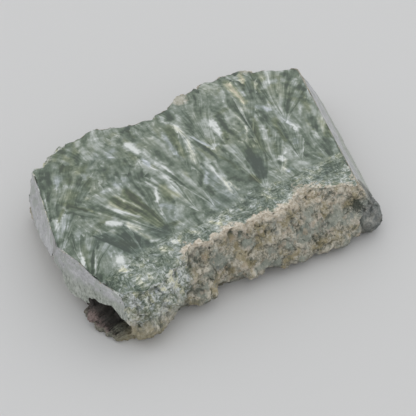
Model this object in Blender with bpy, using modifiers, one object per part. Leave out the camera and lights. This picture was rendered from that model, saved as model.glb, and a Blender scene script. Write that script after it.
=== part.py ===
"""Seraphinite slice: a thick slice of silvery green fibrous rock, one natural piece.

The top is sawn flat and polished, the base and both ends are sawn flat, and the front
and back keep the rough rind that the rock had in the ground. The script lofts a blank
through three outlines, opens the hollow at its front left corner, fuses knobs to it,
weathers its skin, and saws it.

Frame: X along the slice's length, Y from front to back, Z up. The origin is on the
base plane, under the middle of the slice. Sizes below are in millimetres.
"""

import math
import random

import bmesh
import bpy
import numpy as np
from mathutils import Matrix, Vector, noise

MM = 0.001
NAME = "seraphinite_slice"
ROCK_COLOUR = (0.23, 0.27, 0.23, 1.0)
ROCK_ROUGHNESS = 0.45
SHARP_EDGE = math.radians(40.0)

# Driving dimensions: the slice, the height where it is widest, and its leaning saw cuts
THICKNESS = 13.0
BELLY_HEIGHT = 4.0
RIGHT_LEAN = math.radians(31.5)
LEFT_LEAN = math.radians(11.0)

# Waste that the saw takes off, size of the skin's faces, and what counts as lying on a cut
SAW_WASTE = 2.0
SKIN_STEP = 0.95
SAW_SNAP = 0.2 * SKIN_STEP
CUT_MERGE = 0.05
ON_PLANE = 1e-7

# Corners of the polished face, and the bend in its left end
BACK_LEFT = Vector((-30.7, 13.8))
LEFT_BEND = Vector((-36.1, -6.7))
FRONT_LEFT = Vector((-32.1, -21.9))
FRONT_RIGHT = Vector((19.9, -22.3))
BACK_RIGHT = Vector((30.9, 13.3))

# Outlines of the blank, anticlockwise from the right end, with waste past both ends
RIM = (
    (30.4, 0.0), (33.0, 8.0), (33.2, 12.4), (30.8, 15.8), (27.4, 17.4), (23.2, 18.4), (20.6, 20.7),
    (15.5, 20.9), (10.2, 20.9), (6.2, 20.2), (4.0, 19.6), (1.9, 18.2), (-4.4, 17.0), (-9.6, 17.9),
    (-14.5, 19.1), (-20.5, 18.8), (-26.8, 16.4), (-28.9, 14.6), (-31.4, 14.1), (-35.2, 8.0), (-38.2, -4.0),
    (-38.0, -10.0), (-36.0, -18.0), (-34.4, -21.4), (-32.1, -21.9), (-29.1, -22.9), (-26.2, -23.3),
    (-22.6, -22.1), (-19.4, -21.6), (-16.0, -19.4), (-8.0, -19.0), (0.0, -18.8), (4.6, -19.2),
    (7.7, -17.8), (10.8, -17.4), (15.6, -19.6), (19.4, -22.2), (23.0, -23.4), (25.2, -19.0), (27.4, -10.0),
)
BELLY = (
    (33.5, 0.0), (35.7, 7.0), (37.3, 12.8), (36.6, 17.2), (32.6, 20.0), (26.0, 20.8), (20.0, 23.0),
    (14.0, 23.4), (9.0, 23.2), (4.5, 22.2), (1.0, 20.3), (-4.5, 19.0), (-10.0, 20.2), (-16.0, 21.3),
    (-22.0, 21.0), (-27.5, 18.6), (-32.4, 15.0), (-33.8, 8.5), (-34.6, 1.0), (-36.6, -5.5), (-38.0, -9.0),
    (-36.8, -15.0), (-35.2, -21.0), (-33.2, -24.4), (-30.0, -25.6), (-26.0, -25.4), (-22.5, -24.7),
    (-19.0, -23.9), (-15.5, -23.8), (-12.5, -22.9), (-10.3, -21.6), (-8.0, -22.2), (-4.5, -23.5),
    (0.0, -23.7), (4.0, -23.8), (9.0, -24.5), (14.0, -24.7), (19.0, -24.6), (23.6, -24.2),
    (26.4, -22.6), (27.8, -18.8), (29.5, -12.8), (31.5, -6.6),
)
FOOT = (
    (32.2, 0.0), (34.3, 7.0), (35.6, 12.2), (34.6, 16.4), (30.6, 18.6), (24.0, 19.4), (18.0, 21.2),
    (11.0, 21.6), (5.0, 20.2), (0.0, 18.4), (-6.0, 17.2), (-12.0, 18.8), (-19.0, 19.4), (-25.5, 17.2),
    (-30.6, 13.6), (-32.2, 8.0), (-32.6, 3.0), (-33.2, -2.0), (-33.9, -6.0), (-33.7, -12.0),
    (-33.4, -17.0), (-32.4, -20.3), (-30.6, -22.6), (-28.4, -24.3), (-24.5, -24.2), (-21.0, -22.6),
    (-18.5, -22.0), (-15.5, -22.4), (-12.5, -21.6), (-10.0, -19.7), (-8.0, -19.6), (-4.5, -21.3),
    (0.0, -21.8), (5.0, -22.4), (11.0, -23.0), (17.0, -23.0), (22.0, -22.6), (25.2, -21.6),
    (26.6, -18.2), (28.4, -12.0), (30.3, -5.6),
)

# Heights of the blank's rings
BELOW_BASE = (-SAW_WASTE, -1.0)
UNDERCUT = (0.0, 1.0, 2.0, 3.0)
SLOPE = (BELLY_HEIGHT, 5.5, 7.0, 8.5, 10.0, 11.5, THICKNESS, THICKNESS + SAW_WASTE)
RING_POINTS = 170
CURVE_STEPS = 8

# Places on the left end: depth behind it, distance along it from the bend, height
HOLLOW = ((0.0, 12.4, 3.5), (6.0, 5.8, 3.4))
CHIP = ((-0.8, -3.6, 3.4), (4.0, 4.2, 7.2))
CREVICE = ((0.0, 5.4, 2.8), (2.0, 4.2, 0.8))
LEDGE = ((1.4, 5.0, 0.9), (1.2, 3.8, 1.0))
BROWN_KNOBS = (
    ((1.6, 8.4, 1.7), 1.7), ((2.4, 11.0, 2.4), 1.3), ((1.4, 10.2, 0.2), 1.9),
    ((1.5, 13.2, 0.2), 1.9), ((1.3, 16.0, 0.4), 1.9), ((5.0, 12.0, 2.4), 1.5),
)

# Knobs of the rind: how many, their radii, the heights they reach, and how deep they sit
KNOB_SEED = 11
KNOB_COUNT = 110
KNOB_RADIUS = (1.2, 2.4)
KNOB_HEIGHT = (2.0, 10.0)
KNOB_SINK = 0.65
KNOB_STRETCH = (0.8, 1.35)
BROWN_STRETCH = (0.85, 1.15)

# Weathering of the skin: how far it moves, and the size of what it makes
SWELL, SWELL_SIZE = 0.8, 6.5
GRAIN, GRAIN_SIZE = 2.0, 3.6
GRAIN_CREST, GRAIN_FLOOR = 0.3, 0.45
FINE, FINE_SIZE = 0.4, 2.1
FACING_FRONT = -0.3

# Pits of the front: X, height, radius, depth
FRONT_PITS = (
    (-2.7, 8.7, 1.8, 1.0), (-5.6, 4.4, 1.3, 0.8), (2.2, 6.4, 1.4, 0.8), (7.4, 9.0, 1.5, 0.8),
    (12.4, 6.6, 1.5, 0.8), (18.1, 9.2, 1.1, 1.1), (20.6, 4.6, 1.2, 0.7), (-12.0, 9.6, 1.5, 0.9),
    (-16.4, 5.4, 1.4, 0.9), (-20.6, 8.6, 1.4, 0.8), (-24.4, 4.6, 1.3, 0.8), (-28.6, 10.8, 1.4, 1.2),
    (-25.6, 11.0, 1.3, 1.0), (-28.8, 6.2, 1.1, 0.7),
)

# The lip under the front rim: from where to where, its height, thickness and reach
LIP_SPAN = (-20.0, 12.0)
LIP_HEIGHT = 12.2
LIP_THICKNESS = 1.0
LIP_REACH = 0.5


def new_object(name, mesh, collection):
    """An object with this mesh, in this collection."""
    thing = bpy.data.objects.new(name, mesh)
    collection.objects.link(thing)
    return thing


def smooth_loop(points):
    """A smooth closed curve through the outline's points, as rows of X and Y."""
    knots = np.array(points)
    before, after = np.roll(knots, 1, axis=0), np.roll(knots, -1, axis=0)
    beyond = np.roll(knots, -2, axis=0)
    steps = []
    for t in np.arange(CURVE_STEPS) / CURVE_STEPS:
        steps.append(
            0.5
            * (
                2 * knots
                + (after - before) * t
                + (2 * before - 5 * knots + 4 * after - beyond) * t**2
                + (3 * knots - before - 3 * after + beyond) * t**3
            )
        )
    return np.stack(steps, axis=1).reshape(-1, 2)


def reach(points, angles):
    """How far the outline lies from the middle at each angle."""
    loop = smooth_loop(points)
    around = np.arctan2(loop[:, 1], loop[:, 0])
    order = np.argsort(around)
    return np.interp(angles, around[order], np.hypot(*loop.T)[order], period=2 * math.pi)


def ring_angles():
    """Angles that space the blank's points evenly along its belly."""
    loop = smooth_loop(BELLY)
    step = np.hypot(*(np.roll(loop, -1, axis=0) - loop).T)
    along = np.concatenate(([0.0], np.cumsum(step)))
    around = np.unwrap(np.arctan2(loop[:, 1], loop[:, 0]))
    around = np.append(around, around[0] + 2 * math.pi)
    return np.interp(np.linspace(0.0, along[-1], RING_POINTS, endpoint=False), along, around)


def blank_mesh():
    """The rough blank: rings lofted from foot to belly to rim."""
    angles = ring_angles()
    foot, belly, rim = (reach(points, angles) for points in (FOOT, BELLY, RIM))
    bm = bmesh.new()
    rings = []
    for height in BELOW_BASE + UNDERCUT + SLOPE:
        # Under the belly the skin swells out like a bowl, above it leans back to the rim
        if height < BELLY_HEIGHT:
            share = math.sin(0.5 * math.pi * height / BELLY_HEIGHT)
            radius = foot + (belly - foot) * share
        else:
            rise = (height - BELLY_HEIGHT) / (THICKNESS - BELLY_HEIGHT)
            share = 0.5 * (1.0 - rise) + 0.5 * math.cos(0.5 * math.pi * min(rise, 1.2))
            radius = rim + (belly - rim) * share
        rings.append(
            [
                bm.verts.new(Vector((r * math.cos(a), r * math.sin(a), height)) * MM)
                for r, a in zip(radius, angles)
            ]
        )
    for low, high in zip(rings, rings[1:]):
        for i in range(RING_POINTS):
            bm.faces.new((low[i - 1], low[i], high[i], high[i - 1]))
    bm.faces.new(reversed(rings[0]))
    bm.faces.new(rings[-1])
    mesh = bpy.data.meshes.new("blank")
    bm.to_mesh(mesh)
    bm.free()
    return mesh


def left_end(place):
    """Turns depth behind the left end, distance along it and height into a place."""
    depth, along, height = place
    run = (FRONT_LEFT - LEFT_BEND).normalized()
    inward = Vector((-run.y, run.x))
    return Vector((*(LEFT_BEND + run * along + inward * depth), height))


def left_end_turn():
    """The turn that lays an egg's first half size across the left end."""
    run = (FRONT_LEFT - LEFT_BEND).normalized()
    return Matrix.Rotation(math.atan2(run.x, -run.y), 4, "Z")


def add_egg(bm, place, size, turn=Matrix()):
    """An egg-shaped closed body, half sizes in size, turned and put in its place."""
    bmesh.ops.create_icosphere(
        bm,
        subdivisions=2,
        radius=1.0,
        matrix=Matrix.Scale(MM, 4)
        @ Matrix.Translation(place)
        @ turn
        @ Matrix.Diagonal((*size, 1.0)),
    )


def hollow_mesh():
    """The cutters of the hollow, the chip and the crevice low in the left end."""
    bm = bmesh.new()
    for place, size in (HOLLOW, CHIP, CREVICE):
        add_egg(bm, left_end(place), size, left_end_turn())
    mesh = bpy.data.meshes.new("hollow")
    bm.to_mesh(mesh)
    bm.free()
    return mesh


def saw_planes():
    """A point on each end plane and its outward direction."""
    planes = []
    for start, end, lean in (
        (BACK_LEFT, LEFT_BEND, LEFT_LEAN),
        (LEFT_BEND, FRONT_LEFT, 0.0),
        (FRONT_RIGHT, BACK_RIGHT, RIGHT_LEAN),
    ):
        run = (end - start).normalized()
        outward = Vector((run.y * math.cos(lean), -run.x * math.cos(lean), math.sin(lean)))
        planes.append((Vector((*end, THICKNESS)), outward))
    return planes


def knobs_mesh():
    """The knobs that are fused to the blank: the rind's, the hollow's and the ledge."""
    chance = random.Random(KNOB_SEED)
    angles = np.array([chance.uniform(-math.pi, math.pi) for _ in range(KNOB_COUNT)])
    belly, rim = reach(BELLY, angles), reach(RIM, angles)
    bm = bmesh.new()
    for angle, low, high in zip(angles, belly, rim):
        height = chance.uniform(*KNOB_HEIGHT)
        rise = max(0.0, (height - BELLY_HEIGHT) / (THICKNESS - BELLY_HEIGHT))
        radius = chance.uniform(*KNOB_RADIUS)
        out = low + (high - low) * rise - radius * KNOB_SINK
        place = Vector((out * math.cos(angle), out * math.sin(angle), height))
        if any((place - point).dot(normal) > -radius for point, normal in saw_planes()):
            continue
        size = [radius * chance.uniform(*KNOB_STRETCH) for _ in range(3)]
        add_egg(bm, place, size)
    for place, radius in BROWN_KNOBS:
        size = [radius * chance.uniform(*BROWN_STRETCH) for _ in range(3)]
        add_egg(bm, left_end(place), size)
    place, size = LEDGE
    add_egg(bm, left_end(place), size, left_end_turn())
    mesh = bpy.data.meshes.new("knobs")
    bm.to_mesh(mesh)
    bm.free()
    return mesh


def evaluated_mesh(thing):
    """The object's mesh as its modifiers leave it."""
    return bpy.data.meshes.new_from_object(thing.evaluated_get(bpy.context.evaluated_depsgraph_get()))


def fused_mesh(cutters):
    """The blank, hollowed, with every knob fused to it in one even skin."""
    hollow = new_object("hollow", hollow_mesh(), cutters)
    hollow.hide_render = True
    hollow.display_type = "WIRE"
    blank = new_object("blank", blank_mesh(), cutters)
    cut = blank.modifiers.new("Hollow", "BOOLEAN")
    cut.operation = "DIFFERENCE"
    cut.object = hollow
    bm = bmesh.new()
    bm.from_mesh(evaluated_mesh(blank))
    bm.from_mesh(knobs_mesh())
    bm.to_mesh(blank.data)
    bm.free()
    blank.modifiers.clear()
    skin = blank.modifiers.new("Skin", "REMESH")
    skin.mode = "VOXEL"
    skin.voxel_size = SKIN_STEP * MM
    fused = evaluated_mesh(blank)
    bpy.data.objects.remove(blank)
    return fused


def bump(distance):
    """1 at the middle, falling smoothly to 0 at a distance of 1."""
    return (1.0 - min(1.0, distance) ** 2) ** 2


def weathering(place, facing_front):
    """How far the skin stands out or in at this place."""
    swell = SWELL * noise.noise(place / SWELL_SIZE)
    near, far = noise.voronoi(place / GRAIN_SIZE)[0][:2]
    grain = GRAIN * min(GRAIN_CREST, far - near) - GRAIN_FLOOR
    fine = FINE * noise.noise(place / FINE_SIZE)
    out = swell + grain + fine
    if facing_front:
        for x, height, radius, depth in FRONT_PITS:
            out -= depth * bump(math.hypot(place.x - x, place.z - height) / radius)
        if LIP_SPAN[0] < place.x < LIP_SPAN[1]:
            out += LIP_REACH * bump(abs(place.z - LIP_HEIGHT) / LIP_THICKNESS)
    return out


def weather(bm):
    """Wears the even skin into swells, grains, pits and the lip under the rim."""
    bm.normal_update()
    moves = []
    for vert in bm.verts:
        place = vert.co / MM
        moves.append(vert.normal * weathering(place, vert.normal.y < FACING_FRONT) * MM)
    for vert, move in zip(bm.verts, moves):
        vert.co += move


def saw(bm, point, normal):
    """Saws off what lies outside a plane, and closes the cut with a flat face."""
    for vert in bm.verts:
        off = (vert.co - point).dot(normal)
        if abs(off) < SAW_SNAP * MM:
            vert.co -= normal * off
    bmesh.ops.bisect_plane(
        bm,
        geom=bm.verts[:] + bm.edges[:] + bm.faces[:],
        dist=ON_PLANE,
        plane_co=point,
        plane_no=normal,
        clear_outer=True,
    )
    on_cut = [vert for vert in bm.verts if abs((vert.co - point).dot(normal)) < ON_PLANE]
    bmesh.ops.remove_doubles(bm, verts=on_cut, dist=CUT_MERGE * MM)
    in_cut = set(vert for vert in on_cut if vert.is_valid)
    flat = [face for face in bm.faces if in_cut.issuperset(face.verts)]
    bmesh.ops.delete(bm, geom=flat, context="FACES_ONLY")
    stray = [edge for edge in bm.edges if edge.is_wire]
    bmesh.ops.delete(bm, geom=stray, context="EDGES")
    crumbs = [vert for vert in bm.verts if not vert.link_faces]
    bmesh.ops.delete(bm, geom=crumbs, context="VERTS")
    rim = [edge for edge in bm.edges if edge.is_boundary]
    bmesh.ops.triangle_fill(bm, use_beauty=True, edges=rim, normal=normal)


def stand_over_origin(bm):
    """Moves the slice level, so that the origin is under the middle of its box."""
    for axis in (0, 1):
        places = [vert.co[axis] for vert in bm.verts]
        middle = 0.5 * (min(places) + max(places))
        for vert in bm.verts:
            vert.co[axis] -= middle
        print(f"middle taken off axis {axis}: {middle / MM:.3f} mm")


def slice_mesh(cutters):
    """The weathered skin, sawn on five planes."""
    bm = bmesh.new()
    bm.from_mesh(fused_mesh(cutters))
    weather(bm)
    for point, normal in saw_planes():
        saw(bm, point * MM, normal)
    saw(bm, Vector((0.0, 0.0, THICKNESS * MM)), Vector((0.0, 0.0, 1.0)))
    saw(bm, Vector(), Vector((0.0, 0.0, -1.0)))
    bmesh.ops.triangulate(bm, faces=bm.faces[:])
    bmesh.ops.recalc_face_normals(bm, faces=bm.faces[:])
    stand_over_origin(bm)
    mesh = bpy.data.meshes.new(NAME)
    bm.to_mesh(mesh)
    bm.free()
    return mesh


def rock_material():
    """Silvery green fibrous rock with a soft polish."""
    material = bpy.data.materials.new("silvery_green_rock")
    material.use_nodes = True
    shader = material.node_tree.nodes["Principled BSDF"]
    shader.inputs["Base Color"].default_value = ROCK_COLOUR
    shader.inputs["Roughness"].default_value = ROCK_ROUGHNESS
    shader.inputs["Metallic"].default_value = 0.0
    return material


def collection(name):
    """A new collection in the scene."""
    made = bpy.data.collections.new(name)
    bpy.context.scene.collection.children.link(made)
    return made


def main():
    for thing in list(bpy.data.objects):
        bpy.data.objects.remove(thing)
    parts = collection("seraphinite")
    cutters = collection("cutters")
    rock = new_object(NAME, slice_mesh(cutters), parts)
    rock.data.materials.append(rock_material())
    rock.data.set_sharp_from_angle(angle=SHARP_EDGE)


main()
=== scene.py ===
# %% [markdown]
# # A slice of seraphinite
#
# Seraphinite is a rock of fine silvery green fibres. They grow in fans, like feathers,
# and a flat polished cut shows them best. This lesson dresses a plain solid of such a
# slice: a crumbly rind in front and behind, sawn ends, and the feathered face on top.
# The solid comes from the frame, and keeps its size and its place. The library's vector
# noise takes its offsets from the clock unless it is given a seed, so it gets one here,
# and every run gives the same rock.

# %% Load the frame
import math

import bmesh
import bpy
import numpy as np
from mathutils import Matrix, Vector, geometry, kdtree, noise


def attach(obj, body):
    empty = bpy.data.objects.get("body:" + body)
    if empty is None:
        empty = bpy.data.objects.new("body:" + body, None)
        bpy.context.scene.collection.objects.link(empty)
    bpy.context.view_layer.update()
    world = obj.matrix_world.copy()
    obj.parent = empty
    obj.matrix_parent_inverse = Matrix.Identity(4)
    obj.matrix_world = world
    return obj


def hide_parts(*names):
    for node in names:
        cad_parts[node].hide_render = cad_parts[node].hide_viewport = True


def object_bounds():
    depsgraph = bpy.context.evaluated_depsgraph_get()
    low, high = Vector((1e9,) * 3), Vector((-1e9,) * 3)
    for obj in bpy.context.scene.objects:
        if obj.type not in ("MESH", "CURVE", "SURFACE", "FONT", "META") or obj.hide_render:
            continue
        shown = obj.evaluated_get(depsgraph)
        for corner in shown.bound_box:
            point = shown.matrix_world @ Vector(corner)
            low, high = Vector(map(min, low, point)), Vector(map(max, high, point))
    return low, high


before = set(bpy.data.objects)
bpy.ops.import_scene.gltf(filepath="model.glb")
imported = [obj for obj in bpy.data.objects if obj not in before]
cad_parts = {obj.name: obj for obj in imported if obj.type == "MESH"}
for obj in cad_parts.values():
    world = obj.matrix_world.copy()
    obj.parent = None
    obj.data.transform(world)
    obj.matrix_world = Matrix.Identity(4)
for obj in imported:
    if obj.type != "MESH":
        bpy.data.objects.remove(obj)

CAD_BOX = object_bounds()
MM = 0.001
NODE = "seraphinite_slice"
NOISE_SEED = 2
noise.seed_set(NOISE_SEED)
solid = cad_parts[NODE]
print("solid:", len(solid.data.polygons), "faces")
print("box in mm:", [[round(v / MM, 2) for v in c] for c in CAD_BOX])

# %% [markdown]
# ## The camera
#
# The photo was taken from above the rough front, turned a little to the left. A long lens
# that stands well back keeps the far edge nearly as long as the near one, so the lens is
# given by its angle of view, and the distance follows from the size of a pixel.

# %% Camera
IMAGE_WIDTH = 416
MM_PER_PIXEL = 0.2
VIEW_ANGLE = math.radians(18.0)
CAMERA_RISE = math.radians(42.0)
CAMERA_TURN = math.radians(-32.0)
AIM = Vector((-0.27, 1.60, 0.0)) * MM
FILM_WIDTH = 36.0


def add_camera():
    """The camera, aimed at a point on the floor under the slice."""
    lens = bpy.data.cameras.new("camera")
    lens.sensor_width = FILM_WIDTH
    lens.lens = 0.5 * FILM_WIDTH / math.tan(0.5 * VIEW_ANGLE)
    lens.clip_start = 0.01
    away = Vector((
        math.sin(CAMERA_TURN) * math.cos(CAMERA_RISE),
        -math.cos(CAMERA_TURN) * math.cos(CAMERA_RISE),
        math.sin(CAMERA_RISE),
    ))
    distance = 0.5 * IMAGE_WIDTH * MM_PER_PIXEL * MM / math.tan(0.5 * VIEW_ANGLE)
    camera = bpy.data.objects.new("camera", lens)
    bpy.context.scene.collection.objects.link(camera)
    camera.location = AIM + away * distance
    camera.rotation_euler = away.to_track_quat("Z", "Y").to_euler()
    bpy.context.scene.camera = camera
    print(f"camera: {distance / MM:.0f} mm away, lens {lens.lens:.0f} mm")


add_camera()

# %% [markdown]
# ## Floor and light
#
# A stone's colour is easiest to judge in light that comes from everywhere, as from an
# overcast sky. A pale world gives that, and one large lamp above and to the right gives
# the soft shadow that ties the slice to the floor.

# %% Floor and light
FLOOR_SIDE = 4.0
FLOOR_ROUGHNESS = 0.75
FLOOR_TONE = (0.63, 0.625, 0.62, 1.0)
SKY_TONE = (0.97, 0.985, 1.0, 1.0)
SKY_STRENGTH = 0.92
LAMP_PLACE = Vector((0.30, 0.28, 0.62))
LAMP_SIDE = 0.6
LAMP_POWER = 0.32


def add_floor():
    """A wide pale floor, which isn't part of the object."""
    bpy.ops.mesh.primitive_plane_add(size=FLOOR_SIDE)
    floor = bpy.context.object
    floor.name = "floor"
    paint = bpy.data.materials.new("pale_floor")
    paint.use_nodes = True
    shader = paint.node_tree.nodes["Principled BSDF"]
    shader.inputs["Base Color"].default_value = FLOOR_TONE
    shader.inputs["Roughness"].default_value = FLOOR_ROUGHNESS
    floor.data.materials.append(paint)


def add_light():
    """An even sky, and one large soft lamp."""
    sky = bpy.data.worlds.new("sky")
    sky.use_nodes = True
    background = sky.node_tree.nodes["Background"]
    background.inputs["Color"].default_value = SKY_TONE
    background.inputs["Strength"].default_value = SKY_STRENGTH
    bpy.context.scene.world = sky
    lamp = bpy.data.lights.new("soft_lamp", "AREA")
    lamp.size = LAMP_SIDE
    lamp.energy = LAMP_POWER
    holder = bpy.data.objects.new("soft_lamp", lamp)
    bpy.context.scene.collection.objects.link(holder)
    holder.location = LAMP_PLACE
    holder.rotation_euler = LAMP_PLACE.to_track_quat("Z", "Y").to_euler()
    bpy.context.scene.view_settings.view_transform = "Standard"


add_floor()
add_light()

# %% [markdown]
# ## Opening the solid
#
# The solid has five flat faces: the polished one, its base, and three saw cuts at the
# ends. Everything else is rind. The two need different treatment, because the rind has
# to become rough and a saw cut has to stay flat. So a merged copy is taken, its flat
# faces are found by their direction, the sharp edges between them are chipped a little,
# and the flats are taken out. They are put back once the rind is done.

# %% Find the flat faces
CUTS = {
    "polished": Vector((0.0, 0.0, 1.0)),
    "base": Vector((0.0, 0.0, -1.0)),
    "left_strip": Vector((-0.949, 0.250, 0.191)),
    "left_end": Vector((-0.967, -0.254, 0.0)),
    "right_end": Vector((0.815, -0.252, 0.522)),
}
NEARLY_PARALLEL = 0.999
ON_PLANE = 0.004 * MM
CHIPPED_EDGE = 0.24 * MM
PAIR_ANGLE = math.radians(60.0)


def merged_copy(source):
    """The solid's triangles with their corners joined."""
    bm = bmesh.new()
    bm.from_mesh(source.data)
    bmesh.ops.remove_doubles(bm, verts=bm.verts[:], dist=0.001 * MM)
    bm.normal_update()
    return bm


def find_cut(bm, direction):
    """The faces that lie in the largest flat that looks in this direction, and its plane."""
    facing = [face for face in bm.faces if face.normal.dot(direction) > NEARLY_PARALLEL]
    largest = max(facing, key=lambda face: face.calc_area())
    point, normal = largest.verts[0].co.copy(), largest.normal.copy()
    flat = [
        face for face in facing
        if all(abs((vert.co - point).dot(normal)) < ON_PLANE for vert in face.verts)
    ]
    return flat, (point, normal)


rind = merged_copy(solid)
planes = {}
flat_faces = {}
for name, direction in CUTS.items():
    flat_faces[name], planes[name] = find_cut(rind, direction)
    area = sum(face.calc_area() for face in flat_faces[name]) / MM**2
    print(f"{name}: {len(flat_faces[name])} triangles, {area:.0f} mm2")

# %% Make each flat one face


def whole_faces(bm, groups):
    """Each flat as one face. A crumb of the same plane that lies apart is left to the rind."""
    for name, faces in groups.items():
        joined = bmesh.ops.dissolve_faces(bm, faces=faces)["region"]
        groups[name] = [max(joined, key=lambda face: face.calc_area())]
        print(f"{name} is one face with {len(groups[name][0].verts)} corners, and {len(joined) - 1} crumbs")


whole_faces(rind, flat_faces)

# %% Small triangles in a flat
FINE_WIDTH = 1.1
CLEARANCE = 0.6
JOIN_WITHIN = 1e-4


def across(normal):
    """Two directions that lie in the plane."""
    first = normal.orthogonal().normalized()
    return first, normal.cross(first)


def search_tree(places):
    """A tree that finds the nearest of some places."""
    tree = kdtree.KDTree(len(places))
    for i, place in enumerate(places):
        tree.insert(place, i)
    tree.balance()
    return tree


def inside_loops(spots, loops):
    """Which spots lie inside the loops, by counting the borders to their right."""
    inside = np.zeros(len(spots), bool)
    for loop in loops:
        for (x0, y0), (x1, y1) in zip(loop, np.roll(loop, -1, axis=0)):
            if y0 == y1:
                continue
            between = (spots[:, 1] > min(y0, y1)) & (spots[:, 1] <= max(y0, y1))
            crossing = x0 + (spots[:, 1] - y0) * (x1 - x0) / (y1 - y0)
            inside ^= between & (spots[:, 0] < crossing)
    return inside


def grid_spots(loops, spacing, fine):
    """Spots in rows inside the loops: coarse all over, and fine near the borders."""
    border = np.concatenate(loops)
    tree = search_tree([(x, y, 0.0) for x, y in border])
    low, high = border.min(axis=0), border.max(axis=0)
    kept = []
    for step, nearest, farthest in ((spacing, FINE_WIDTH, math.inf), (fine, CLEARANCE * fine, FINE_WIDTH)):
        columns = np.arange(low[0], high[0], step)
        rows = np.arange(low[1], high[1], step * math.sqrt(0.75))
        x, y = np.meshgrid(columns, rows)
        x[1::2] += 0.5 * step
        spots = np.stack([x.ravel(), y.ravel()], axis=1)
        spots = spots[inside_loops(spots, loops)]
        for spot in spots:
            if nearest < tree.find((*spot, 0.0))[2] <= farthest:
                kept.append(spot)
    return np.array(kept)


def fill_flat(bm, name, loops, flat, spots, drawn, edges):
    """Fills the loops with triangles through the spots and along the drawn edges."""
    point, normal = planes[name]
    u, v = across(normal)
    corners = [vert for loop in loops for vert in loop]
    lines, start = [], 0
    for loop in loops:
        lines += [(start + i, start + (i + 1) % len(loop)) for i in range(len(loop))]
        start += len(loop)
    start += len(spots)
    lines += [(start + a, start + b) for a, b in edges]
    places = [Vector(p) for p in np.concatenate(flat + [spots.reshape(-1, 2), drawn.reshape(-1, 2)])]
    found, _, faces, origin, _, _ = geometry.delaunay_2d_cdt(places, lines, [], 0, JOIN_WITHIN)
    middles = np.array([sum((found[i] for i in face), Vector((0.0, 0.0))) / 3.0 for face in faces])
    keep = inside_loops(middles, flat)
    verts = [
        corners[origin[i][0]] if origin[i] and origin[i][0] < len(corners)
        else bm.verts.new(point + (u * place.x + v * place.y) * MM)
        for i, place in enumerate(found)
    ]
    made = [bm.faces.new([verts[i] for i in face]) for face, wanted in zip(faces, keep) if wanted]
    for face in made:
        face.normal_update()
        if face.normal.dot(normal) < 0.0:
            face.normal_flip()
    lone = [vert for vert in verts if not vert.link_faces]
    bmesh.ops.delete(bm, geom=lone, context="VERTS")
    return made


def on_plane(name, loops):
    """The loops in the flat's own two directions, in millimetres."""
    point, normal = planes[name]
    u, v = across(normal)
    return [
        np.array([((c.co - point).dot(u) / MM, (c.co - point).dot(v) / MM) for c in loop])
        for loop in loops
    ]


# %% [markdown]
# ## Where the saw cuts break off
#
# The saw cuts don't reach the ground everywhere. Along the left end their foot has broken
# away and the rock draws back under them, and at the right corner a rounded knob stands
# where a cut would be. So those flats are divided along a line, the broken part gets a
# grid of its own, and the shell is then pushed in or out there by a few soft strokes.

# %% Break the feet off
BREAKS = {
    "left_strip": [((18.0, 7.2), (15.2, 5.8), (11.2, 5.0), (6.1, 5.6), (1.6, 7.2), (-3.4, 8.8))],
    "left_end": [
        ((-5.7, 6.1), (-6.4, 4.2), (-7.9, 2.9), (-10.0, 3.3), (-12.0, 3.6), (-13.0, 4.2)),
        ((-20.5, 5.8), (-21.3, 6.1), (-22.2, 7.4)),
    ],
    "right_end": [((-19.4, 13.0), (-17.0, 11.4), (-15.8, 8.6), (-15.2, 6.0), (-15.9, 3.1))],
}
BREAK_STEP = 0.8
BREAK_GRAIN = 0.9 * MM
BREAK_WANDER = 0.25 * MM
BROKEN_GRID = 1.0


def on_cut(name, y, z):
    """The point of a cut's plane at this place across and this height, in millimetres."""
    point, normal = planes[name]
    x = point.x - ((y * MM - point.y) * normal.y + (z * MM - point.z) * normal.z) / normal.x
    return Vector((x, y * MM, z * MM))


def stepped(points, step):
    """The points of a line, with more between them, each moved a little off it."""
    found = []
    for start, end in zip(points, points[1:]):
        count = max(1, round((end - start).length / step))
        found += [start.lerp(end, i / count) for i in range(count)]
    return [
        spot + noise.noise_vector(spot / BREAK_GRAIN) * BREAK_WANDER if i else spot
        for i, spot in enumerate(found + [points[-1]])
    ]


def break_off(bm, name, line):
    """Divides a flat along a line, and returns the smaller part."""
    face = flat_faces[name][0]
    spots = stepped([on_cut(name, *place) for place in line], BREAK_STEP * MM)
    ends = [min(face.verts, key=lambda vert: (vert.co - spot).length) for spot in (spots[0], spots[-1])]
    point, normal = planes[name]
    inner = [spot - normal * (spot - point).dot(normal) for spot in spots[1:-1]]
    made, _ = bmesh.utils.face_split(face, *ends, coords=inner)
    parts = sorted((face, made), key=lambda part: part.calc_area())
    flat_faces[name] = [parts[1]]
    return parts[0]


def grid_over(bm, name, face):
    """Replaces a broken part by small triangles, so that it can be given a form."""
    loops = [list(face.verts)]
    flat = on_plane(name, loops)
    bmesh.ops.delete(bm, geom=[face], context="FACES_ONLY")
    spots = grid_spots(flat, BROKEN_GRID, BROKEN_GRID)
    return fill_flat(bm, name, loops, flat, spots, np.empty((0, 2)), [])


for name, lines in BREAKS.items():
    for line in lines:
        part = break_off(rind, name, line)
        area = part.calc_area() / MM**2
        print(f"{name}: {area:.0f} mm2 broken off, {len(grid_over(rind, name, part))} triangles")

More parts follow.
